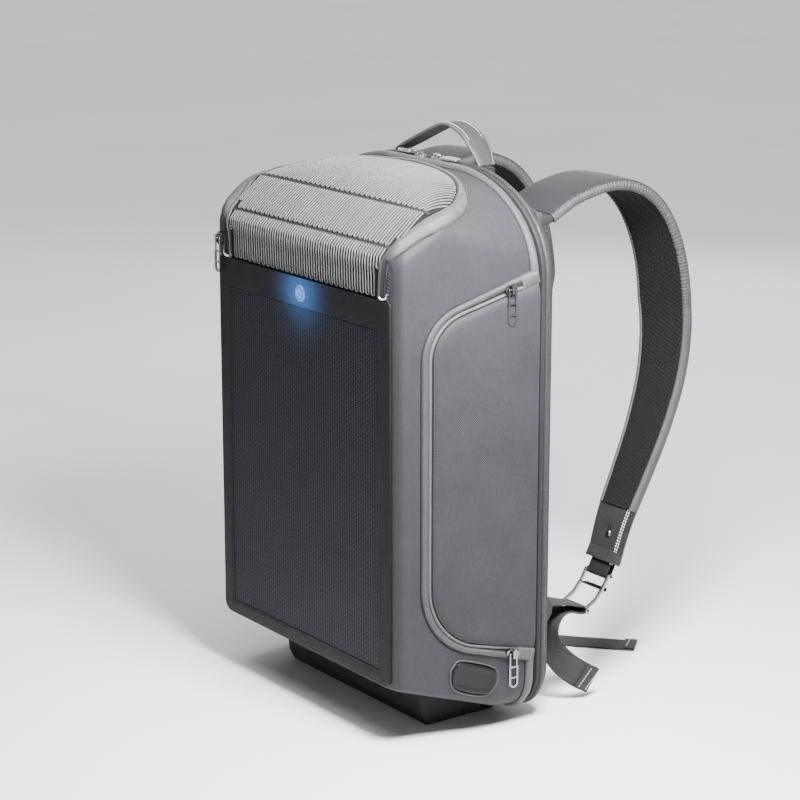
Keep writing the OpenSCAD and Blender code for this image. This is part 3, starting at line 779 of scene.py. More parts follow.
def door_outline(grow, rear=DOOR_REAR, steps=16):
    """Outline of the side pocket's door on the side plane, grown, from its top rear to its low rear end."""
    top, low = door_corner_centres()
    first = (rear, top_edge_z(rear) + grow / math.cos(DOOR_SLANT))
    last = (rear, low_edge_z(rear) - grow / math.cos(DOOR_LOW_SLANT))
    upper = arc(top, DOOR_R_TOP + grow, math.pi / 2 + DOOR_SLANT, math.pi, steps)
    lower = arc(low, DOOR_R_LOW + grow, math.pi, 1.5 * math.pi - DOOR_LOW_SLANT, steps)
    return [first] + upper + lower + [last]


def port_outline(grow):
    """The charging port's rounded outline on the side plane."""
    corners = [(-23 - grow, 0), (-15, -12 - grow), (16, -12 - grow), (23 + grow, -3),
               (23 + grow, 5), (16, 12 + grow), (-17, 12 + grow), (-22 - grow, 6)]
    smooth = spline([(u, v, 0) for u, v in corners], 5, closed=True)
    turn = Matrix.Rotation(PORT_TILT, 3, "Z")
    return [(turn @ p).to_2d() + Vector(PORT) for p in smooth]


def flap_opening():
    """The shape that the flap takes out of the case, a little inside the gusset's outer edge."""
    rows = []
    edge = spline(GUSSET_EDGE, 6)
    for i, (x, depth, z) in enumerate(edge):
        ahead, behind = edge[min(i + 1, len(edge) - 1)], edge[max(i - 1, 0)]
        rise, run = ahead.z - behind.z, ahead.y - behind.y
        length = math.hypot(rise, run)
        up = Vector((-rise / length, run / length))
        half_w = max(x - 3, 0.5)
        out, back = (depth + up.x * 30, z + up.y * 30), (depth - up.x * 9, z - up.y * 9)
        rows.append([mm(-half_w, *out), mm(half_w, *out), mm(half_w, *back), mm(-half_w, *back)])
    return Shape().grid(rows, wrap_columns=True, caps=True)


def front_shell():
    """The padded fabric case, with its openings for the flap, pockets, port and button."""
    rings = []
    for depth in case_depths()[:-1]:
        rings.append([mm(x, min(depth + SKIN, CASE_D), z) for x, z in case_ring(depth, SKIN)])
    rings.append([mm(x, CASE_D, z) for x, z in case_ring(CASE_D, SKIN)])
    rings += [[mm(x, depth, z) for x, z in case_ring(depth)] for depth in reversed(case_depths())]
    shell = mesh_object("shell", Shape().grid(rings, wrap_columns=True, caps=True))
    cut(shell, flap_opening())
    openings = Shape()
    for side in (1, -1):
        mouth = door_outline(-6, rear=MOUTH_REAR)
        openings.prism(mouth, lambda s, z, off, m=side: on_side(s, z, off, m), -12, 8)
    openings.prism(port_outline(0), on_side, -12, 8)
    front_prism(openings, circle((0, BUTTON_Z), BUTTON_R + 1.3, 24), -5, 12)
    cut(shell, openings)
    piece("case_shell", shell, TWILL, "front_case", ["front_shell"], 40)


def base_foot():
    """The low foot under the case, black so that it stands for the shadow under the raised front: a real
    foot, with painted shade for its colour.
    """
    low, high = node_box("base_foot")
    front, rear = low.y - FRONT_Y, high.y - FRONT_Y - 0.2
    outline = [(d, section(min(d, CASE_D))[1] + 0.6) for d in (front + 1, front + 30, front + 60, rear)]
    outline += [(rear, 0), (front + 10, 0), (front + 4, 12)]
    foot = mesh_object("foot", Shape().prism(outline, lambda d, z, x: mm(x, d, z), low.x, high.x))
    modified(foot, "BEVEL", width=0.003, segments=3, limit_method="ANGLE")
    # black as painted shade: the foot fills the shadow under the raised front
    piece("base_foot_pad", foot, BLACK_CLOTH, "front_case", ["base_foot"])


# ---------------------------------------------------------------- flap

FLAP_EDGE = [Vector(p) for p in spline(PANEL_EDGE, 8)]
FRONT_FACE = 2.6


def centre_line():
    """Depth, height, distance along the flap and half-width of its middle line's points."""
    result = []
    length = 0
    for p in FLAP_EDGE:
        z = p.z if p.y < FRONT_FACE else section(p.y)[2]
        if result:
            length += math.hypot(p.y - result[-1][0], z - result[-1][1])
        result.append((p.y, z, length, max(p.x, 0)))
    return result


FLAP_LINE = centre_line()
FLAP_LENGTH = FLAP_LINE[-1][2]
TOP_BULGE = 7.5  # how far the stuffed rear band of the flap stands above its seams


def flap_distance(depth):
    """Distance along the flap at which it reaches a depth."""
    for a, b in zip(FLAP_LINE, FLAP_LINE[1:]):
        if b[0] >= depth:
            return a[2] + (b[2] - a[2]) * (depth - a[0]) / (b[0] - a[0])
    return FLAP_LENGTH


SEAMS = [0, flap_distance(CREASE_LOW[0]), flap_distance(CREASE_HIGH[0]), FLAP_LENGTH + 6]


def flap_row(distance):
    """Depth, height, half-width and outward direction of the flap at a distance along it."""
    last = len(FLAP_LINE) - 1
    i = next((k for k in range(last) if FLAP_LINE[k + 1][2] >= distance), last - 1)
    a, b = FLAP_LINE[i], FLAP_LINE[i + 1]
    t = (distance - a[2]) / max(b[2] - a[2], 1e-6)
    depth, z, half_w = (a[k] + (b[k] - a[k]) * t for k in (0, 1, 3))
    before, after = FLAP_LINE[max(i - 2, 0)], FLAP_LINE[min(i + 3, last)]
    run, rise = after[0] - before[0], after[1] - before[1]
    length = math.hypot(run, rise)
    return depth, z, half_w, Vector((0, -rise / length, run / length))


def flap_at(x, distance, lift=0.0):
    """A point of the padded flap: each of its three bands is crowned between its seams."""
    depth, z, half_w, outward = flap_row(distance)
    if depth > FRONT_FACE:
        z = case_z(x, depth)
    crown = 0
    for low, high in zip(SEAMS, SEAMS[1:]):
        if low <= distance <= high:
            t = (distance - low) / (high - low)
            crown = 1.7 * (1 - abs(2 * t - 1) ** 5)
    across = min(abs(x) / max(half_w, 1), 1)
    crown *= 1 - across ** 8
    if SEAMS[2] < distance < FLAP_LENGTH:
        t = (distance - SEAMS[2]) / (FLAP_LENGTH - SEAMS[2])
        crown += TOP_BULGE * math.sin(math.pi * t) ** 0.8 * (1 - across ** 4)
    return mm(x, depth, z) + outward * (crown - 0.7 + lift) / 1000


def flap_panel():
    """The dark cloth under the flap's cords."""
    rows = []
    count = 150
    for i in range(count + 1):
        distance = FLAP_LENGTH * i / count
        half_w = flap_row(distance)[2]
        rows.append([flap_at(half_w * (k / 24 - 1), distance) for k in range(49)])
    panel = mesh_object("panel", Shape().grid(rows))
    modified(panel, "SOLIDIFY", thickness=0.0022, offset=-1)
    piece("flap_cloth", panel, RIB_BASE, "top_flap", ["flap_panel"])


LOOP_PITCH = 7.4  # from one loop of cord to the next
CORD_GAP = 1.85  # half the distance between a loop's two strands
CORD_W, CORD_T = 1.3, 1.4
SHORTEST_CORD = 6


def cord_end(x, low, high):
    """Where a cord starts and ends in its band, clear of the gusset."""
    clear = [low + k for k in range(int(high - low) + 1) if flap_row(low + k)[2] > abs(x) + 1.5]
    return (clear[0], clear[-1]) if clear else (high, high)


def cord_loop(centre, low, high):
    """Places along one loop of cord, up its band and back, or none where it would be too short."""
    starts, ends = zip(*(cord_end(centre + shift, low, high) for shift in (-CORD_GAP, CORD_GAP)))
    start = max(starts) + CORD_GAP
    if min(ends) - start <= SHORTEST_CORD:
        return []
    strands = []
    for shift, end in ((-CORD_GAP, ends[0]), (CORD_GAP, ends[1])):
        steps = max(int((end - start) / 2.2), 1)
        strands.append([(centre + shift, start + (end - start) * k / steps) for k in range(steps, -1, -1)])
    bend = arc((centre, start), CORD_GAP, math.pi, math.tau, 6)[1:-1]
    return strands[0] + bend + strands[1][::-1]


def flap_cords():
    """Silver cords sewn on in long loops, each with its round end at the lower seam of its band."""
    shape = Shape()
    for low, high in zip(SEAMS, SEAMS[1:]):
        low, high = low + 1.8, min(high - 1.2, FLAP_LENGTH - 1)
        widest = max(flap_row(low + (high - low) * k / 20)[2] for k in range(21)) - 1
        count = 2 * int(widest / LOOP_PITCH) + 1
        for i in range(count):
            spots = cord_loop((i - (count - 1) / 2) * LOOP_PITCH, low, high)
            if spots:
                path = [flap_at(x, distance, 0.45) for x, distance in spots]
                outward = [flap_row(distance)[3] for x, distance in spots]
                shape.sweep(path, oval(CORD_W, CORD_T, 7), normals=outward)
    piece("flap_cords", shape, CORD, "top_flap")


def flap_seam_strips():
    """Two narrow strips of cloth over the seams between the flap's bands."""
    strips = Shape()
    profile = ((-1.7, -0.3), (-1.5, 0.35), (-0.6, 0.55), (0, 0.2), (0.6, 0.55), (1.5, 0.35), (1.7, -0.3))
    for seam in SEAMS[1:3]:
        rows = []
        for across, lift in profile:
            half_w = flap_row(seam + across)[2] - 0.5
            rows.append([flap_at(half_w * (k / 30 - 1), seam + across, lift) for k in range(61)])
        strips.grid(rows)
    piece("flap_seam_strips", strips, TWILL, "top_flap")


def edge_rings(edge, count):
    """The right half of an edge, from the front, and then its mirror image back to the front."""
    right = evenly([mm(*p) for p in spline(edge, 8)], 1.0)
    right = [right[round(i * (len(right) - 1) / count)] for i in range(count + 1)]
    left = [Vector((-p.x, p.y, p.z)) for p in reversed(right[:-1])]
    return right + left


GUSSET_STEPS = 110


def gusset_frames():
    """Inner edge, outer edge and outward direction all round the gusset."""
    inner, outer = edge_rings(PANEL_EDGE, GUSSET_STEPS), edge_rings(GUSSET_EDGE, GUSSET_STEPS)
    result = []
    for i, (a, b) in enumerate(zip(inner, outer)):
        j, k = max(i - 2, 0), min(i + 2, len(inner) - 1)
        along = (inner[k] + outer[k] - inner[j] - outer[j]).normalized()
        outward = along.cross(b - a).normalized()
        if outward.dot(Vector((0, -0.5, 1))) < 0:
            outward.negate()
        result.append((a, b, outward))
    return result


def flap_gusset():
    """The satin roll round the ribbed panel: hollow at its two front ends and full behind them."""
    rows = []
    loops = gusset_frames()
    for i, (a, b, outward) in enumerate(loops):
        from_end = min(i, len(loops) - 1 - i) / GUSSET_STEPS
        fullness = min(max((from_end - 0.1) / 0.1, 0), 1)
        width = (b - a).length * 1000
        height = (-0.9 + fullness * (0.9 + min(0.46 * width, 6))) / 1000
        wrinkle = 0.0007 * noise.noise(a * 120) * fullness
        top = []
        for k in range(15):
            v = k / 14
            rise = math.sin(math.pi * v ** 0.9) ** 0.7
            top.append(a + (b - a) * v + outward * (rise * (height + wrinkle)))
        under = [b - outward * 0.0022, a - outward * 0.0022]
        rows.append(top + under)
    shape = Shape().grid(rows, wrap_columns=True, caps=True)
    piece("gusset_roll", shape, SATIN, "top_flap", ["flap_gusset"])
    inner = [a.lerp(b, 0.06) + outward * 0.0014 for a, b, outward in loops]
    piece("gusset_piping", Shape().tube(inner, 0.85, 6), SATIN_DARK, "top_flap")
    last = len(loops) - 1
    outer = []
    for i, (a, b, outward) in enumerate(loops):
        raised = min(min(i, last - i) / 20, 1)
        outer.append(b + outward * (0.0014 * raised - 0.0005))
    piece("gusset_seam", Shape().tube(outer, 0.9, 8), SATIN_DARK, "front_case")
    stitches = Shape()
    line = [a.lerp(b, 0.2) + outward * 0.0034 for a, b, outward in loops[24:-24]]
    stitches.bars(line, [o for a, b, o in loops[24:-24]], 2.4, (1.7, 0.45, 0.3))
    piece("gusset_stitches", stitches, THREAD_GREY, "top_flap")


def flap_ends():
    """The bound ends of the gusset at the front, with the zip tape beside them."""
    bound = Shape()
    for side in (1, -1):
        path = spline([mm(side * 112.5, 1.6, 388.5), mm(side * 117, 0.9, 387.2), mm(side * 122.5, 1.4, 389),
                       mm(side * 124, 3, 396)], 6)
        bound.tube(path, 0.9, 8)
    piece("gusset_bound_ends", bound, THREAD_LIGHT, "front_case")
    tape, teeth = Shape(), Shape()
    for side in (1, -1):
        path = [mm(side * (124.5 + k * 0.05), 1.9 + k * 0.12, 387 + k * 2.6) for k in range(14)]
        normals = [Vector((side * 0.35, -1, 0.05)).normalized()] * len(path)
        tape.sweep(path, [(-4, -0.5), (4, -0.5), (4, 0.2), (-4, 0.2)], normals=normals)
        teeth.bars([p + n * 0.0003 for p, n in zip(path, normals)], normals, 1.5, (0.8, 3.2, 0.7), 0.3)
    piece("flap_zip_tape", tape, TAPE, "front_case", ["flap_zip"])
    piece("flap_zip_coil", teeth, COIL, "front_case")


# ---------------------------------------------------------------- solar panel


def plate_outline(half_w, low, high, r_low, r_high):
    """A rectangle with rounded corners, in width and height."""
    points = arc((half_w - r_low, low + r_low), r_low, -math.pi / 2, 0, 6)
    points += arc((half_w - r_high, high - r_high), r_high, 0, math.pi / 2, 6)
    return points + [(-x, z) for x, z in reversed(points)]


def front_prism(shape, outline, front, rear):
    return shape.prism(outline, lambda x, z, d: mm(x, d, z), front, rear)


def bezel_outline(grow=0.0):
    right = arc((10, BUTTON_Z), 10 + grow, -math.pi / 2, math.pi / 2, 14)
    return right + [(-x, 2 * BUTTON_Z - z) for x, z in right]


def rectangle(low_x, low_z, high_x, high_z, grow_x=0.0, grow_z=0.0):
    x0, x1, z0, z1 = low_x - grow_x, high_x + grow_x, low_z - grow_z, high_z + grow_z
    return [(x0, z0), (x1, z0), (x1, z1), (x0, z1)]


def panel_frame():
    """The leather-look frame round the cells and the button."""
    outline = plate_outline(FACE_HALF_W - 0.5, FACE_LOW + 1, FLAP_LOW - 0.4, 9, 2)
    plate = mesh_object("plate", front_prism(Shape(), outline, 0, BACKING_T))
    holes = front_prism(Shape(), rectangle(*CELLS, 0.1, 0.1), -5, 8)
    cut(plate, front_prism(holes, bezel_outline(), -5, 8))
    modified(plate, "BEVEL", width=0.0009, segments=3, limit_method="ANGLE")
    piece("panel_frame", plate, FRAME_LEATHER, "front_case", ["solar_backing"])


def cell_film():
    """Two columns of six cells under one film, with a fine groove between them."""
    film = Shape()
    low_x, low_z, high_x, high_z = CELLS
    step_x, step_z = (high_x - low_x) / 2, (high_z - low_z) / 6
    for i in range(2):
        for k in range(6):
            x, z = low_x + i * step_x, low_z + k * step_z
            tile = rectangle(x, z, x + step_x, z + step_z)
            inner = rectangle(x, z, x + step_x, z + step_z, -0.5, -0.4)
            levels = ((tile, BACKING_T), (tile, 0.7), (inner, 0.6))
            rings = [[mm(u, depth, v) for u, v in ring] for ring, depth in levels]
            film.grid(rings, wrap_columns=True, caps=True)
    piece("cell_film", film, FILM, "front_case", ["solar_laminate"], 4)


def frame_stitches():
    """Dark stitches round the cells, on all sides but the one at the button."""
    stitches = Shape()
    border = rectangle(*CELLS, 3.2, 3.2)
    for (x0, z0), (x1, z1) in ((border[0], border[1]), (border[1], border[2]), (border[3], border[0])):
        path = [mm(x0 + (x1 - x0) * k / 60, -0.05, z0 + (z1 - z0) * k / 60) for k in range(61)]
        stitches.bars(path, [Vector((0, -1, 0))] * 61, 3.0, (2.1, 0.5, 0.25))
    piece("frame_stitches", stitches, DARK_THREAD_AND_SEAM_SHADOW, "front_case")


def power_button():
    """The oval surround, and the lit button with its raised ring."""
    bezel = mesh_object("bezel", front_prism(Shape(), bezel_outline(-0.05), -0.5, BACKING_T))
    cut(bezel, front_prism(Shape(), circle((0, BUTTON_Z), BUTTON_R + 0.3, 48), -5, 8))
    modified(bezel, "BEVEL", width=0.0005, segments=3, limit_method="ANGLE")
    piece("button_surround", bezel, FRAME_LEATHER, "front_case", ["button_bezel"])
    profile = [(0.01, -1.0), (1.6, -1.0), (2.1, -0.8), (2.7, -0.8), (3.2, -1.05), (5.6, -1.2), (6.9, -1.0),
               (BUTTON_R, -0.2), (BUTTON_R, 5.2), (0.01, 5.2)]
    rows = [[mm(x, depth, z) for x, z in circle((0, BUTTON_Z), r, 48)] for r, depth in profile]
    button = Shape().grid(rows, wrap_columns=True, caps=True)
    piece("lit_button_cap", button, LIT, "power_button", ["power_button"])


# ---------------------------------------------------------------- side pockets


def side_path(outline, off, side, spacing=2.0):
    return evenly([on_side(s, z, off, side) for s, z in outline], spacing)


def half_round(width, height, sides=8):
    """A closed profile with a flat foot and a round back."""
    top = [(width / 2 * x, height * y) for x, y in arc((0, 0), 1, 0, math.pi, sides)]
    return top + [(-width / 2, -0.6), (width / 2, -0.6)]


def opened_outline(grow, widening):
    """The door's outline, grown further at its two rear ends, where the zip's two sides part."""
    outline = door_outline(grow)
    wide = door_outline(grow + widening)
    return [wide[0]] + outline[1:-1] + [wide[-1]]


def pocket_zip(side, name):
    """Two rolls of satin that meet over the coil, and part towards the sliders. The lip's lighter satin is a
    painted highlight; the outer roll's darker satin and the dark seam lines are painted shade.
    """
    normal = [side_normal(side)]
    outer_path = side_path(opened_outline(6.9, 1.8), 0.1, side)
    outer = Shape().sweep(outer_path, half_round(6.0, 2.4), normals=normal * len(outer_path))
    inner_path = side_path(opened_outline(2.2, -1.1), 0.1, side)
    inner = Shape().sweep(inner_path, half_round(3.0, 2.0), normals=normal * len(inner_path))
    tape_path = side_path(door_outline(4.6), 0.3, side)
    flat = [(-2.6, -0.4), (2.6, -0.4), (2.6, 0.3), (-2.6, 0.3)]
    tape = Shape().sweep(tape_path, flat, normals=normal * len(tape_path))
    coil = Shape().bars(side_path(door_outline(4.6), 0.8, side), normal, 1.25, (0.7, 1.9, 0.5), 0.2)
    # dark lines beside the outer roll and along the door: painted shade in those gaps
    seams = Shape()
    for grow, off in ((10.4, 0.2), (0.2, 0.5)):
        path = side_path(door_outline(grow), off, side)
        seams.tube(path, 0.55, 6, normals=normal * len(path))
    # the outer roll's darker satin is painted shade, the lip's lighter satin a painted highlight
    piece(name + "_zip_roll", outer, ROLL_SATIN, "front_case", [name + "_zip"])
    piece(name + "_zip_lip", inner, PAINTED_HIGHLIGHT_SATIN, "front_case")
    piece(name + "_zip_tape", tape, TAPE, "front_case")
    piece(name + "_zip_coil", coil, COIL, "front_case")
    piece(name + "_seams", seams, DARK_THREAD_AND_SEAM_SHADOW, "front_case")


# Cross-section of the tabs over the zip's ends
GARAGE_PROFILE = [(-5.3, -1.2), (5.3, -1.2), (5.3, 0.4), (4.6, 0.9), (1.5, 1.3), (-1.5, 1.3), (-4.6, 0.9),
                  (-5.3, 0.4)]


def zip_garages(side, name):
    """Stitched tabs over the two rear ends of the pocket's zip."""
    tabs, threads = Shape(), Shape()
    for top in (True, False):
        edge, slant = (top_edge_z, DOOR_SLANT) if top else (low_edge_z, -DOOR_LOW_SLANT)
        lift = 5.2 / math.cos(slant) * (1 if top else -1)
        path = [on_side(s, edge(s) + lift, 1.3 + 0.9 * math.sin(math.pi * (s - 118) / 22), side)
                for s in (118.5, 119, 120, 123, 126, 129, 131, 133, 134)]
        normals = [side_normal(side)] * len(path)
        tabs.sweep(path, GARAGE_PROFILE, normals=normals)
        for s in (119.6, 121.4):
            across = (-4.6, -2.3, 0, 2.3, 4.6)
            line = [on_side(s, edge(s) + lift + v, 2.75 - abs(v) * 0.1, side) for v in across]
            threads.bars(line, [side_normal(side)] * 5, 2.1, (1.5, 0.45, 0.35))
    piece(name + "_garages", tabs, SATIN, "front_case")
    piece(name + "_garage_stitches", threads, THREAD_GREY, "front_case")


def door_inset(s, z):
    """Distance of a place on the door from its curved edge."""
    below_top = (top_edge_z(s) - z) * math.cos(DOOR_SLANT)
    above_low = (z - low_edge_z(s)) * math.cos(DOOR_LOW_SLANT)
    reach = min(s - DOOR_FRONT, below_top, above_low)
    for (cs, cz), radius, up in zip(door_corner_centres(), (DOOR_R_TOP, DOOR_R_LOW), (1, -1)):
        slant = DOOR_SLANT if up > 0 else DOOR_LOW_SLANT
        across, above = cs - s, (z - cz) * up
        if across > 0 and above > 0 and across * math.cos(slant) + above * math.sin(slant) > 0:
            reach = min(reach, radius - math.hypot(across, above))
    return max(reach, 0)


def door_span(s):
    """Lowest and highest place of the door at distance s along the side."""
    (ts, tz), (ls, lz) = door_corner_centres()
    high, low = top_edge_z(s), low_edge_z(s)
    if s <= ts - DOOR_R_TOP * math.sin(DOOR_SLANT):
        high = tz + math.sqrt(max(DOOR_R_TOP ** 2 - (ts - s) ** 2, 0))
    if s <= ls - DOOR_R_LOW * math.sin(DOOR_LOW_SLANT):
        low = lz - math.sqrt(max(DOOR_R_LOW ** 2 - (ls - s) ** 2, 0))
    return low, high


DOOR_EDGE = 15  # width of the door's rounded edge
DOOR_LIFT = 4.4  # how far the door stands off the side
MOUTH_REAR = 109  # rear edge of the pocket's mouth
POCKET_DEEP = 44


def door_height(s, z):
    """How far the padded door stands off the side plane."""
    t = min(door_inset(s, z) / DOOR_EDGE, 1)
    edge = math.sqrt(1 - (1 - t) ** 2)
    sag = 0.5 * noise.noise(Vector((s / 42, z / 60, 3))) + 0.15 * noise.noise(Vector((s / 9, z / 16, 8)))
    return 1.0 + DOOR_LIFT * edge + sag * t


def pocket_door(side, name):
    """The padded door: its edge, rear strip and underside stay put when it swells."""
    columns, rows = 36, 90
    outer, inner, held = [], [], []
    for i in range(columns + 1):
        t = i / columns
        s = DOOR_FRONT + (DOOR_REAR - DOOR_FRONT) * (1 - math.cos(math.pi * t / 2) if t < 1 else 1)
        low, high = door_span(s)
        spots = [low + (high - low) * (0.5 - 0.5 * math.cos(math.pi * k / rows)) for k in range(rows + 1)]
        outer.append([on_side(s, z, door_height(s, z), side) for z in spots])
        inner.append([on_side(s, z, 0.5, side) for z in spots])
        first = 2 * i * len(spots)
        held += [first + k for k, z in enumerate(spots) if door_inset(s, z) < 6 or s > DOOR_REAR - 5]
        held += range(first + len(spots), first + 2 * len(spots))
    rings = [top + under[::-1] for top, under in zip(outer, inner)]
    padded = mesh_object("door", Shape().grid(rings, wrap_columns=True, caps=True))
    swollen = inflate(padded, 2.5, 1.2, held)
    door = piece(name + "_panel", swollen, TWILL, name + "_door", [name + "_door"], 60)
    path = side_path(door_outline(-1.0), 1.9, side)
    edge = Shape().tube(path, 0.75, 8, normals=[side_normal(side)] * len(path))
    piece(name + "_edge_piping", edge, PIPING, name + "_door")


def pocket_liner(side, name):
    """The pocket's lining: a deep tray behind the door, with a bound rim."""
    outer = door_outline(-4.5, rear=MOUTH_REAR + 1.5)
    inner = door_outline(-6, rear=MOUTH_REAR)
    deep = -POCKET_DEEP - SKIN
    rows = [[on_side(s, z, off, side) for s, z in outline] for outline, off in
            ((outer, -SKIN - 0.2), (outer, deep), (inner, deep + 1.5), (inner, -SKIN - 0.2))]
    shape = Shape().grid(rows, wrap_columns=True)
    count = len(outer)
    shape.faces.append([count + k for k in range(count)])
    shape.faces.append([2 * count + k for k in range(count)])
    for k in range(count):
        after = (k + 1) % count
        shape.faces.append((k, after, 3 * count + after, 3 * count + k))
    piece(name + "_lining", shape, LINING, "front_case", [name + "_liner"], 40)
    rear = MOUTH_REAR + 0.6
    path = side_path(door_outline(-5.4, rear=rear), -0.4, side)
    path += side_path([(rear, low_edge_z(rear) + 6), (rear, top_edge_z(rear) - 6)], -0.4, side)[1:-1]
    rim = Shape().tube(path, 1.1, 8, closed=True, normals=[side_normal(side)] * len(path))
    piece(name + "_rim", rim, SATIN_DARK, "front_case")


def side_pocket(side, name):
    pocket_zip(side, name)
    zip_garages(side, name)
    pocket_door(side, name)
    pocket_liner(side, name)


# ---------------------------------------------------------------- charging port


def port_cover():
    """Rubber cover with a raised rim."""
    rows = []
    for grow, off in ((-0.7, 0.8), (-0.7, 2.0), (-1.6, 3.1), (-2.8, 3.4), (-3.8, 2.9), (-6.2, 2.7)):
        rows.append([on_side(s, z, off) for s, z in port_outline(grow)])
    cover = mesh_object("cover", Shape().grid(rows, wrap_columns=True, caps=True))
    piece("port_cover", cover, RUBBER, "usb_cover", ["usb_cover"], 40)
    path = evenly([on_side(s, z, 0.55) for s, z in port_outline(1.0)], 2, closed=True)
    piece("port_welt", Shape().tube(path, 1.0, 8, closed=True), ROLL_SATIN, "front_case")


# ---------------------------------------------------------------- rear band, zip and back


def rear_outline(grow, depth=None, side_steps=40):
    """Points round the case's outline, by default at its rear edge, with their outward directions."""
    half_w, low, high, r_low, r_high, w_high = section(CASE_D if depth is None else depth)
    half_w, low, high = half_w + grow, low - grow, high + grow
    r_low, w_high, r_high = (max(r + grow, 1) for r in (r_low, w_high, r_high))
    points = []

    def straight(a, b, steps, out):
        points.extend(((a[0] + (b[0] - a[0]) * k / steps, a[1] + (b[1] - a[1]) * k / steps), out)
                      for k in range(1, steps))

    def corner(cx, cz, w, r, start, steps):
        for k in range(steps + 1):
            a = start + math.pi / 2 * k / steps
            out = Vector((r * math.cos(a), w * math.sin(a))).normalized()
            points.append(((cx + w * math.cos(a), cz + r * math.sin(a)), tuple(out)))

    corner(half_w - r_low, low + r_low, r_low, r_low, -math.pi / 2, 16)
    straight((half_w, low + r_low), (half_w, high - r_high), side_steps, (1, 0))
    corner(half_w - w_high, high - r_high, w_high, r_high, 0, 30)
    straight((half_w - w_high, high), (w_high - half_w, high), 14, (0, 1))
    corner(w_high - half_w, high - r_high, w_high, r_high, math.pi / 2, 30)
    straight((-half_w, high - r_high), (-half_w, low + r_low), side_steps, (-1, 0))
    corner(r_low - half_w, low + r_low, r_low, r_low, math.pi, 16)
    straight((r_low - half_w, low), (half_w - r_low, low), 24, (0, -1))
    return points


def rear_sweep(depth, profile, grow=0.0, ripple=0.0, seed=0):
    """A closed profile of (depth, outward) millimetres carried round the case, following its taper."""
    rings = []
    for across, up in profile:
        ring = []
        for (x, z), (nx, nz) in rear_outline(grow, min(depth + across, CASE_D)):
            rise = up + ripple * noise.noise(Vector((x / 7, z / 7, seed)))
            ring.append(mm(x + nx * rise, depth + across, z + nz * rise))
        rings.append(ring)
    return Shape().grid(rings, wrap_rows=True, wrap_columns=True)


def rounded(width, low, high, sides=7):
    """A band profile with a domed outside."""
    dome = [math.pi * k / sides for k in range(sides + 1)]
    top = [(width / 2 * math.cos(a), low + (high - low) * math.sin(a) ** 0.6) for a in dome]
    return top + [(-width / 2, low - 1.6), (width / 2, low - 1.6)]


def rear_edges():
    """The satin roll at the case's rear edge, and the main zip behind it."""
    zip_depth = (CASE_D + BAND_FRONT) / 2
    roll = rear_sweep(CASE_D - 3.7, rounded(7.2, -0.3, 2.7), ripple=0.45)
    piece("case_edge_roll", roll, SATIN, "front_case")
    # a dark bead where the roll meets the case: painted shade in that crease
    seam = rear_sweep(CASE_D - 7.9, rounded(1.1, 0.0, 0.35))
    piece("case_edge_seam", seam, DARK_THREAD_AND_SEAM_SHADOW, "front_case")
    tape = rear_sweep(zip_depth - 0.2, [(1.8, -3.4), (-1.8, -3.4), (-1.8, -5.2), (1.8, -5.2)])
    piece("main_zip_tape", tape, TAPE, "front_case", ["main_zip"])
    teeth = Shape()
    ring = rear_outline(-2.9)
    path = [mm(x, zip_depth, z) for (x, z), _ in ring]
    teeth.bars(path + path[:1], [Vector((nx, 0, nz)) for _, (nx, nz) in ring], 1.6, (0.8, 3.0, 0.8), 0.3)
    piece("main_zip_coil", teeth, COIL, "front_case")


def rear_band():
    """The band of cloth behind the main zip, with the ribbed piping along it."""
    half = (BAND_REAR - BAND_FRONT) / 2
    band = [(-half, -3.6), (-half, -0.9), (0.4 - half, 0.2), (1.4 - half, 0.9), (2.6 - half, 0.7),
            (3.2 - half, 0.1), (half - 3.4, 0.0), (half - 1.6, -0.3), (half - 0.5, -1.3), (half, -2.4),
            (half, -3.6)]
    cloth = rear_sweep((BAND_FRONT + BAND_REAR) / 2, band, ripple=0.3, seed=4)
    piece("rear_band_cloth", cloth, TWILL_DARK, "back_panel", ["rear_band"], 35)
    low, high = node_box("rear_piping")
    piping_depth = (low.y + high.y) / 2 - FRONT_Y
    cord = rear_sweep(piping_depth, [(u, v + 0.3) for u, v in oval(4.2, 3.8, 12)])
    piece("rear_piping_cord", cord, PIPING, "back_panel", ["rear_piping"])


def back_board():
    """The board that closes the case and carries the pads and straps."""
    low, high = node_box("back_board")
    outline = [spot for spot, _ in rear_outline(-5)]
    board = mesh_object("board", front_prism(Shape(), outline, low.y - FRONT_Y, high.y - FRONT_Y))
    modified(board, "BEVEL", width=0.0022, segments=4, limit_method="ANGLE")
    piece("back_board_cloth", board, TWILL_DARK, "back_panel", ["back_board"])


def cushion(x0, x1, z0, z1, low, high, radius, round_edge=9):
    """A crowned pad with rounded corners: rings that rise and close towards the middle."""
    cx, cz = (x0 + x1) / 2, (z0 + z1) / 2
    rows = []
    for k in range(13):
        t = k / 12
        inset = round_edge * (1 - math.cos(t * math.pi / 2)) * 1.6
        depth = low + (high - low) * math.sin(t * math.pi / 2) ** 0.9
        r = max(radius - inset * 0.6, 4)
        tall = (z1 - z0) / 2 - inset
        ring = plate_outline((x1 - x0) / 2 - inset, cz - tall, cz + tall, r, r)
        rows.append([mm(cx + x, depth, z) for x, z in ring])
    return rows


# Low and high x, low and high z of the four back pads
PADS = [(15, 129, 326, 412), (14, 106, 62, 202), (-129, -15, 326, 412), (-106, -14, 62, 202)]
PAD_R = 22


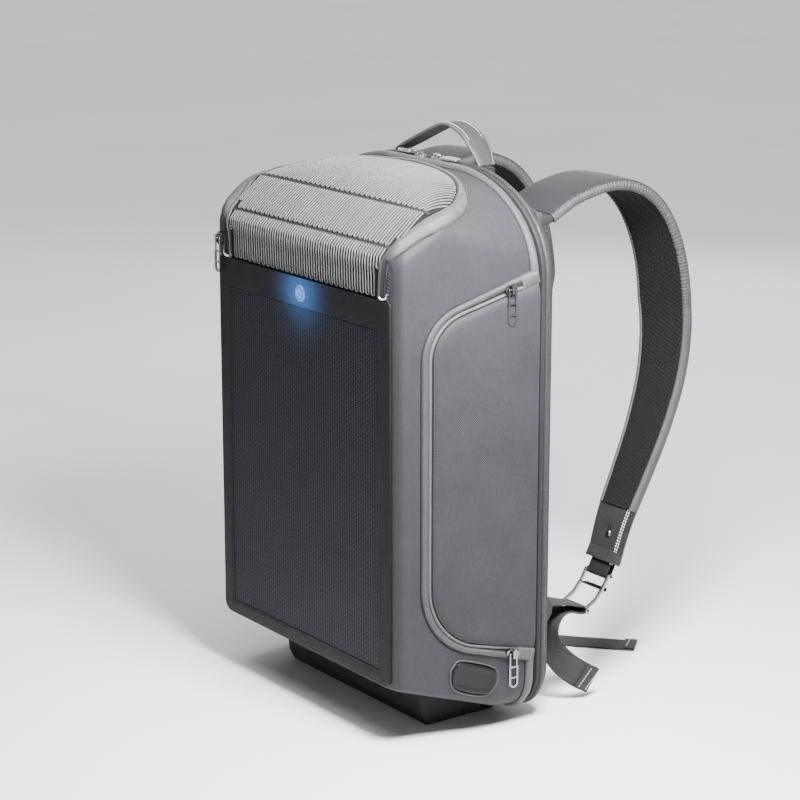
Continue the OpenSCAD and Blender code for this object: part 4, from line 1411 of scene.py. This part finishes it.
def back_pads():
    shape = Shape()
    depth = PAD_REAR - PAD_FRONT - 2.5
    for x0, x1, z0, z1 in PADS:
        rows = cushion(x0, x1, z0, z1, PAD_FRONT, PAD_FRONT + depth, PAD_R)
        shape.grid(rows, wrap_columns=True, caps=True)
    pads = mesh_object("pads", shape)
    modified(pads, "REMESH", mode="VOXEL", voxel_size=0.0045)
    under = [v.index for v in pads.data.vertices if v.co.y * 1000 - FRONT_Y < PAD_FRONT + 2]
    inflate(pads, 5, 4, under)
    modified(pads, "SUBSURF", levels=1)
    piece("back_cushions", pads, PAD_MESH, "back_panel", ["back_pads"], 40)
    seams = Shape()
    for x0, x1, z0, z1 in PADS:
        ring = plate_outline((x1 - x0) / 2 + 0.6, z0 - 0.6, z1 + 0.6, PAD_R, PAD_R)
        path = evenly([mm((x0 + x1) / 2 + x, PAD_FRONT + 0.5, z) for x, z in ring], 3, closed=True)
        seams.tube(path, 1.2, 8, closed=True)
    piece("back_pad_piping", seams, SATIN_DARK, "back_panel")


def luggage_strap():
    """The sleeve that slips over a trolley's handle, with bound edges and sewn ends."""
    low, high = node_box("luggage_strap")
    depth = low.y - FRONT_Y
    rows = []
    stations = [(-130, 0.6), (-122, 0.9), (-116, 3.5), (-110, 8.2), (-104, 9.0), (0, 9.2), (104, 9.0),
                (110, 8.2), (116, 3.5), (122, 0.9), (130, 0.6)]
    path = spline([mm(x, depth + rise, 0) for x, rise in stations], 5)
    for p in path:
        front = []
        for k in range(17):
            z = low.z + (high.z - low.z) * k / 16
            sag = 0.0004 * noise.noise(Vector((p.x * 30, z / 25, 2)))
            front.append(Vector((p.x, p.y + sag, z / 1000)))
        rear = [q - Vector((0, 0.0015, 0)) for q in front]
        rows.append(front + rear[::-1])
    shape = Shape().grid(rows, wrap_columns=True, caps=True)
    piece("luggage_sleeve", shape, TWILL, "back_panel", ["luggage_strap"], 40)
    edges, threads = Shape(), Shape()
    for z in (low.z + 0.5, high.z - 0.5):
        edges.tube([Vector((p.x, p.y - 0.0007, z / 1000)) for p in path], 1.5, 8)
    for x in (-126, 126):
        line = [mm(x, depth + 1.1, low.z + 4 + k * 10) for k in range(10)]
        threads.bars(line, [Vector((0, 1, 0))] * 10, 3, (2.2, 0.6, 0.4))
    piece("luggage_sleeve_binding", edges, SATIN_DARK, "back_panel")
    piece("luggage_sleeve_stitches", threads, THREAD_GREY, "back_panel")


def strap_yoke():
    """The stitched strip across the back that the shoulder straps start from."""
    low, high = node_box("strap_yoke")
    depth, rear = low.y - FRONT_Y, high.y - FRONT_Y
    shape = front_prism(Shape(), plate_outline(high.x, low.z, high.z, 8, 8), depth, rear - 2.5)
    for side in (1, -1):
        tab = [(side * 95 + x, z) for x, z in plate_outline(33, 430, 444, 3, 3)]
        front_prism(shape, tab, rear - 3, rear)
    yoke = mesh_object("yoke", shape)
    modified(yoke, "BEVEL", width=0.0008, segments=2, limit_method="ANGLE")
    piece("strap_yoke_cloth", yoke, TWILL, "back_panel", ["strap_yoke"])
    threads = Shape()
    for z in (low.z + 3.5, high.z - 3.5):
        line = [mm(-122 + 12.2 * k, rear - 2.5, z) for k in range(21)]
        threads.bars(line, [Vector((0, 1, 0))] * 21, 3, (2.2, 0.6, 0.4))
    piece("strap_yoke_stitches", threads, THREAD_GREY, "back_panel")


def strap_wings():
    """Folded triangles of fabric at the case's foot, which hold the webbing."""
    shape, threads = Shape(), Shape()
    front = PAD_FRONT
    for side in (1, -1):
        outline = [(front, 74), (front + 12, 92), (front + 12, 101), (front, 118)]
        rows = []
        for k in range(9):
            x = 113 + 28 * k / 8
            full = 1 + 0.06 * math.sin(math.pi * k / 8)
            rows.append([mm(side * x, front + (d - front) * full, z) for d, z in outline])
        shape.grid(rows, wrap_columns=True, caps=True)
        line = [mm(side * (115 + 4 * k), front + 9.2, 105.2) for k in range(7)]
        threads.bars(line, [Vector((0, 0.6, 0.8))] * 7, 2.6, (1.9, 0.6, 0.4))
    wings = mesh_object("wings", shape)
    modified(wings, "BEVEL", width=0.0014, segments=3, limit_method="ANGLE")
    piece("strap_wing_cloth", wings, TWILL, "back_panel", ["strap_wings"])
    piece("strap_wing_stitches", threads, THREAD_GREY, "back_panel")


# ---------------------------------------------------------------- handle


HANDLE_ENDS = ((-66, -50), (53, 69))  # low and high x of its two sewn patches


def handle_patches():
    """Black patches that wrap the case's rear edge where the handle's ends are sewn on."""
    half_w = HALF_W - ARCH[0]
    section_line = [(146.8, 0.4), (146.8, 1.6), (147.4, 2), (154.4, 2), (155, 1.4), (155, -5), (150, -5),
                    (150, 0.4)]
    patches = Shape()
    for x0, x1 in HANDLE_ENDS:
        rows = []
        for k in range(7):
            x = x0 + (x1 - x0) * k / 6
            over = max(abs(x) - half_w, 0) / ARCH[0]
            edge_z = HIGH_Z - ARCH[1] * (1 - math.sqrt(1 - over ** 2))
            rows.append([mm(x, depth, edge_z + up) for depth, up in section_line])
        patches.grid(rows, wrap_columns=True, caps=True)
    piece("handle_patches", patches, BLACK_CLOTH, "back_panel", ["handle_anchors"])


HANDLE_PROFILE = [(-9.5, -1.5), (9.5, -1.5), (10, -0.6), (10, 0.6), (9.5, 1.3), (5, 1.75), (-5, 1.75),
                  (-9.5, 1.3), (-10, 0.6), (-10, -0.6)]


def handle_half(label, path, taper):
    """From one sewn end of the handle to its middle."""
    normals = [Vector((0, 0, 1))] * len(path)
    band = Shape().sweep(path, HANDLE_PROFILE, normals=normals, scale=taper)
    binding, threads = Shape(), Shape()
    for depth in (-9.9, 9.9):
        edge = [p + Vector((0, depth * t / 1000, 0)) for p, t in zip(path, taper)]
        binding.tube(edge, 1.6, 8, normals=normals)
        line = [p + Vector((0, depth * 0.76 * t / 1000, 0.0016)) for p, t in zip(path, taper)]
        threads.bars(line[3:], normals[3:], 2.8, (2.0, 0.5, 0.35))
    parts = [piece("handle_band_" + label, band, HANDLE_CLOTH, None, ["carry_handle"]),
             piece("handle_binding_" + label, binding, SATIN, None),
             piece("handle_stitches_" + label, threads, THREAD_LIGHT, None)]
    for part in parts:
        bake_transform(part)


def carry_handle():
    """Two halves that meet in the middle, narrower where they are sewn on."""
    path = spline([mm(x, HANDLE_DEPTH, z) for x, z in HANDLE_PATH], 8)
    last = len(path) - 1
    taper = [min(1, 0.72 + 0.28 * min(i, last - i) / 12) for i in range(last + 1)]
    middle = last // 2
    handle_half("left", path[:middle + 1], taper[:middle + 1])
    handle_half("right", path[middle:][::-1], taper[middle:][::-1])
    handle_patches()


# ---------------------------------------------------------------- shoulder straps


def strap_shape(z):
    """Middle and half-width of the strap's front view at a height."""
    t = min(max((340 - z) / 210, 0), 1)
    return 95 + 30 * t, 33 - 13 * t


def strap_frames(side, top, low):
    """Points, side and outward directions, and half-widths of the strap between two heights."""
    path = spline([(0, d, z) for d, z in STRAP_PATH], 12)
    path = evenly([p / 1000 for p in path], 3.5)
    result = []
    past_peak = False
    for i, p in enumerate(path):
        before, after = path[max(i - 1, 0)], path[min(i + 1, len(path) - 1)]
        along = (after - before).normalized()
        outward = Vector((0, -along.z, along.y))
        past_peak = past_peak or p.y > 0.24
        z = p.z * 1000
        if (past_peak and z > top) or (past_peak and z < low):
            continue
        if not past_peak and top < 440:
            continue
        centre, half_w = strap_shape(z if past_peak else 480)
        result.append((mm(side * centre, p.y * 1000, z), Vector((side, 0, 0)), outward, half_w))
    return result


def layered(rings, low, high, edge):
    """A padded layer on the strap's frames, with rounded long edges."""
    rows = []
    for centre, across, outward, half_w in rings:
        w = half_w - edge
        top = [(w, low), (w + edge * 0.8, (low + high) / 2), (w, high - 0.5)]
        top += [(w * (1 - k / 8), high + 0.9 * math.sin(math.pi * k / 16)) for k in range(1, 16)]
        top += [(-w, high - 0.5), (-w - edge * 0.8, (low + high) / 2), (-w, low)]
        rows.append([centre + across * a / 1000 + outward * b / 1000 for a, b in top])
    return Shape().grid(rows, wrap_columns=True, caps=True)


def strap_pad(side, name):
    """The strap's padded top, its mesh underside and the binding, which is ribbed in its upper part."""
    rings = strap_frames(side, 1000, PATCH_TOP - 2)
    cloth = layered(rings, -2.8, 4.2, 2)
    pad = piece(name + "_pad_cloth", cloth, STRAP_TWILL, name, [name + "_pad"])
    under = layered([(c, a, -o, w) for c, a, o, w in rings], 2.6, 5.2, 3)
    piece(name + "_underside", under, MESH, name, [name + "_mesh"])
    binding = Shape()
    for edge in (1, -1):
        path, scale = [], []
        fine = evenly([centre + across * edge * (half_w - 2.9) / 1000 - outward * 0.0012
                       for centre, across, outward, half_w in rings], 0.8)
        for i, point in enumerate(fine):
            path.append(point)
            along = i / len(fine)
            puckered = 1 - min(max((along - 0.5) / 0.12, 0), 1)
            rib = abs(math.sin(math.pi * i / 4 + 1.5 * noise.noise(Vector((i * 0.1, edge * 5, 2)))))
            uneven = noise.noise(Vector((i * 0.07, edge * 5, 1)))
            scale.append(1 - 0.16 * (1 - rib) * puckered + 0.03 * uneven)
        normals = resample([outward for _, _, outward, _ in rings], len(path))
        binding.sweep(path, oval(6.8, 9.4, 14), normals=normals, scale=scale)
    piece(name + "_binding", binding, ROLL_SATIN, name)


def strap_root(side, name):
    """The sewn fabric between the yoke and the strap, and the webbing out of the wing."""
    path = spline([(0, d, z) for d, z in ((157, 437), (163, 436), (169, 437), (177, 440.6))], 5)
    rings = []
    for i, p in enumerate(path):
        along = (path[min(i + 1, len(path) - 1)] - path[max(i - 1, 0)]).normalized()
        outward = Vector((0, -along.z, along.y))
        rings.append((mm(side * 95, p.y, p.z), Vector((side, 0, 0)), outward, 32))
    root = piece(name + "_root", layered(rings, -4, 3.2, 1.5), STRAP_TWILL, None)
    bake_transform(root)
    start = [mm(side * x, d, z) for x, d, z in ((127.5, 164, 98), (127.2, 168, 97.8), (127, 174, 96.9))]
    ribbon = web_ribbon(Shape(), start, [Vector((1, 0, 0))] * 3)
    bridge = piece(name + "_web_start", ribbon, WEBBING, None)
    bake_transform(bridge)


def strap_patch(side, name):
    """The leather-look end of the strap with its double stitching, stud and dark collar."""
    rings = strap_frames(side, PATCH_TOP + 1, 118)
    leather_end = layered(rings, -4.6, 3.0, 1.4)
    piece(name + "_leather", leather_end, PATCH_LEATHER, name, [name + "_patch"])
    threads = Shape()
    for inset in (3.0, 5.4):
        for up in (3.75, -4.75):
            line = [c + a * (w - inset) / 1000 + o * up / 1000 for c, a, o, w in rings]
            threads.bars(line, [o * (1 if up > 0 else -1) for c, a, o, w in rings], 2.6, (1.9, 0.7, 0.5))
    piece(name + "_stitches", threads, THREAD_LIGHT, name)
    low_rings = [(c, a, o, w * (1.0 + 0.012 * k)) for k, (c, a, o, w) in enumerate(rings[-4:])]
    piece(name + "_collar", layered(low_rings, -5.6, 4.0, 2), PLASTIC, name)
    centre, across, outward, _ = rings[len(rings) // 2]
    stud = Shape()
    profile = [(0.01, 4.4), (2.6, 4.4), (3.4, 4.9), (3.4, 5.6), (2.4, 6.6), (1.0, 7.2), (0.01, 7.3)]
    along = across.cross(outward)
    spot = centre + across * side * 2 / 1000
    rows = [[spot + (across * x + along * z - outward * d) / 1000 for x, z in circle((0, 0), r, 16)]
            for r, d in profile]
    stud.grid(rows, wrap_columns=True, caps=True)
    piece(name + "_stud", stud, GUNMETAL, name)
    finger = [spot + (along * v - outward * (5.2 + 0.25 * v)) / 1000 for v in (0, 3, 6, 9, 11)]
    loop = Shape().tube(finger, 1.5, 8, scale=[1, 1, 0.95, 0.8, 0.5])
    piece(name + "_stud_loop", loop, RUBBER, name)


# Cross-section of the lock's side plates
LOCK_PLATE = [(-1.25, -3.485), (-0.75, -4.1), (0.75, -4.1), (1.25, -3.485), (1.25, 3.485), (0.75, 4.1),
              (-0.75, 4.1), (-1.25, 3.485)]


def ladder_lock(side, name):
    """The bent metal lock: two side plates and three bars, the lowest of which holds the webbing."""
    path = [mm(0, d, z) for d, z in LOCK_PATH]
    smooth = evenly([path[0], path[1], path[2], path[2].lerp(path[3], 0.5), path[3]], 2.0)
    plates, bars = Shape(), Shape()
    normals = [Vector((0, -(b - a).z, (b - a).y)).normalized() for a, b in zip(smooth, smooth[1:])]
    normals.append(normals[-1])
    for x in (LOCK_X - LOCK_HALF_W + 1.25, LOCK_X + LOCK_HALF_W - 1.25):
        plates.sweep([p + Vector((side * x / 1000, 0, 0)) for p in smooth], LOCK_PLATE, normals=normals)
    ends = (LOCK_X - LOCK_HALF_W, LOCK_X + LOCK_HALF_W)
    for i in (0, 1, 3):
        places = [side * (ends[0] + (ends[1] - ends[0]) * k / 6) / 1000 for k in range(7)]
        bar = [path[i] + Vector((x, 0, 0)) for x in places]
        bars.tube(bar, 1.9, 12)
    piece(name + "_frame", plates, SILVER, name, [name])
    piece(name + "_bars", bars, GUNMETAL, name)


# Webbing's cross-section, as shares of half its width and half its thickness
WEB_RING = [(1, 0), (0.97, 0.8), (0.9, 1), (0.3, 1.05), (-0.3, 1.05), (-0.9, 1), (-0.97, 0.8), (-1, 0),
            (-0.97, -0.8), (-0.9, -1), (0.9, -1), (0.97, -0.8)]


def web_ribbon(shape, path, sides, width=WEBBING_W):
    """A strip of webbing with slightly rounded edges."""
    rows = []
    for i, point in enumerate(path):
        along = (path[min(i + 1, len(path) - 1)] - path[max(i - 1, 0)]).normalized()
        across = (sides[i] - along * sides[i].dot(along)).normalized() * width / 2000
        up = along.cross(across).normalized() * WEBBING_T / 2000
        rows.append([point + across * u + up * v for u, v in WEB_RING])
    return shape.grid(rows, wrap_columns=True, caps=True)


def twisting(count, start, end, last):
    """Width directions along a webbing route, turning from crosswise to last between two of its points."""
    result = []
    for i in range((count - 1) * WEB_STEPS + 1):
        t = min(max((i / WEB_STEPS - start) / (end - start), 0), 1)
        result.append((Vector((1, 0, 0)) * (1 - t) + Vector(last) * t).normalized())
    return result


def anchored_webbing(shape, side):
    route = spline([mm(side * x, d, z) for x, d, z in ANCHORED_ROUTE], WEB_STEPS)
    web_ribbon(shape, route, [Vector((1, 0, 0))] * len(route))


def sewn_end(shape, threads, route, sides, turn):
    """The folded and stitched last 16 mm of a webbing tail, doubled on the side that turn chooses."""
    tail = [p for p in route if (p - route[-1]).length < 0.016]
    last = sides[-len(tail):]
    along = (route[-1] - route[-3]).normalized()
    lifted = [p + along.cross(s).normalized() * turn * WEBBING_T * 0.00098 for p, s in zip(tail, last)]
    web_ribbon(shape, lifted, last, WEBBING_W - 0.6)
    middle, across = lifted[len(lifted) // 2], last[-1].normalized()
    up = along.cross(across) * turn
    for reach in (-0.0045, 0.0045):
        line = [middle + along * reach + across * v / 1000 + up * 0.0009 for v in range(-9, 10, 3)]
        threads.bars(line, [up] * len(line), 2.4, (1.7, 0.6, 0.4))


def right_tail():
    turns = twisting(len(HANGING_ROUTE), 3, 7, (0.15, 0.6, 0.78))
    return spline([mm(*p) for p in HANGING_ROUTE], WEB_STEPS), turns


def left_tail():
    turns = twisting(len(LYING_ROUTE), 4, 8, (0.61, -0.79, 0))
    return spline([mm(*p) for p in LYING_ROUTE], WEB_STEPS), turns


def webbing(side, name, lock):
    """The webbing from the wing to the lock, its free tail, and the loops through the lock."""
    shape, threads = Shape(), Shape()
    anchored_webbing(shape, side)
    route, sides = right_tail() if side > 0 else left_tail()
    web_ribbon(shape, route, sides)
    sewn_end(shape, threads, route, sides, side)
    piece(name + "_web", shape, WEBBING, name, [name + "_webbing"])
    piece(name + "_web_stitches", threads, THREAD_LIGHT, name)
    bar_depth, bar_z = LOCK_PATH[-1]
    wrap = [mm(side * LOCK_X, 196.5, bar_z + 6), mm(side * LOCK_X, 202, bar_z + 4.4)]
    for k in range(9):
        a = math.pi * k / 8
        wrap.append(mm(side * LOCK_X, bar_depth + 3 * math.sin(a), bar_z + 3 * math.cos(a)))
    wrap += [mm(side * LOCK_X, 203, bar_z - 2.6), mm(side * LOCK_X, 197.5, bar_z - 1.1)]
    loop = web_ribbon(Shape(), wrap, [Vector((1, 0, 0))] * len(wrap))
    piece(name + "_web_loop", loop, WEBBING, lock)
    top_depth, top_z = LOCK_PATH[0]
    hanger = [mm(side * LOCK_X, 242.5, 124), mm(side * LOCK_X, 239.5, 118)]
    for k in range(9):
        a = math.radians(20 - 27 * k)
        hanger.append(mm(side * LOCK_X, top_depth + 3.1 * math.cos(a), top_z + 3.1 * math.sin(a)))
    hanger.append(mm(side * LOCK_X, 236.5, 123))
    end_loop = web_ribbon(Shape(), hanger, [Vector((1, 0, 0))] * len(hanger), WEBBING_W + 1)
    piece(name + "_end_loop", end_loop, BLACK_CLOTH, name)


def shoulder_strap(side, name, lock):
    strap_pad(side, name)
    strap_patch(side, name)
    strap_root(side, name)
    ladder_lock(side, lock)
    webbing(side, name, lock)


# ---------------------------------------------------------------- inside

BAG_R = 6


def paint(node, material):
    """Gives a carried-over CAD node its finished material."""
    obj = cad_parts[node]
    obj.data.materials.clear()
    obj.data.materials.append(material)


def open_bag(name, node, body, rim=None):
    """A cloth pocket with sagging walls and a bound rim; rim gives its height by depth, if it isn't level."""
    low, high = node_box(node)
    ring = plate_outline(high.x, low.y - FRONT_Y, high.y - FRONT_Y, BAG_R, BAG_R)
    ring = evenly([mm(x, depth, 0) for x, depth in ring], 7, closed=True)
    rows = []
    for k in range(19):
        t = k / 18
        row = []
        for p in ring:
            sag = 1 + 0.012 * math.sin(math.pi * t) * noise.noise(Vector((p.x * 30, p.y * 50, t * 3)))
            top = rim(p.y * 1000 - FRONT_Y) if rim else high.z
            row.append(Vector((p.x * sag, p.y, (low.z + (top - low.z) * t) / 1000)))
        rows.append(row)
    shape = Shape().grid(rows, wrap_columns=True)
    shape.faces.append(list(range(len(ring))))
    bag = mesh_object(name, shape)
    modified(bag, "SOLIDIFY", thickness=0.0014, offset=-1)
    piece(name, bag, LINING, body, [node])
    piece(name + "_rim", Shape().tube(rows[-1], 1.2, 8, closed=True), SATIN_DARK, body)


def divider():
    """A lining sheet across the case, with a bound edge all round."""
    low, high = node_box("inner_divider")
    middle = (low.y + high.y) / 2 - FRONT_Y
    rows = []
    for i in range(25):
        x = low.x + (high.x - low.x) * i / 24
        row = []
        for k in range(49):
            z = low.z + (high.z - low.z) * k / 48
            row.append(mm(x, middle + 0.4 * noise.noise(Vector((x / 40, z / 50, 5))), z))
        rows.append(row)
    edge = [row[0] for row in rows] + rows[-1][1:] + [row[-1] for row in rows[-2::-1]] + rows[0][-2:0:-1]
    sheet = mesh_object("divider_cloth", Shape().grid(rows))
    modified(sheet, "SOLIDIFY", thickness=0.0014, offset=0)
    piece("divider_cloth", sheet, LINING, "front_case", ["inner_divider"])
    piece("divider_binding", Shape().tube(edge, 1.2, 8, closed=True), SATIN_DARK, "front_case")


def tray_rim(depth):
    """Height of the top pocket's rim, which follows the flap."""
    points = [(9, 414), (42, 444), (104, 455)]
    (d0, z0), (d1, z1) = points[:2] if depth < points[1][0] else points[1:]
    return z0 + (z1 - z0) * (depth - d0) / (d1 - d0)


def inside():
    """The lining pieces in the main compartment."""
    divider()
    open_bag("top_pocket", "top_pocket_tray", "front_case", tray_rim)
    open_bag("power_bank_sleeve", "power_bank_pocket", "front_case")
    open_bag("laptop_pocket", "laptop_sleeve", "back_panel")


def hardware():
    """Finishes for the CAD nodes that stay as they are."""
    for node in ("junction_box", "charge_controller", "usb_housing"):
        paint(node, PLASTIC)
    paint("usb_lead", RUBBER)
    paint("usb_socket", STEEL)
    paint("button_board", BOARD_GREEN)
    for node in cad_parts:
        if node.endswith("_slider") or node.endswith("_pull"):
            paint(node, SILVER if node.startswith("main") else GUNMETAL)


# ---------------------------------------------------------------- assembly

front_shell()
base_foot()
flap_panel()
flap_cords()
flap_seam_strips()
flap_gusset()
flap_ends()
panel_frame()
cell_film()
frame_stitches()
power_button()
side_pocket(1, "right_pocket")
side_pocket(-1, "left_pocket")
port_cover()
rear_edges()
rear_band()
back_board()
back_pads()
luggage_strap()
strap_yoke()
strap_wings()
carry_handle()
shoulder_strap(1, "right_strap", "right_ladder_lock")
shoulder_strap(-1, "left_strap", "left_ladder_lock")
inside()
hardware()
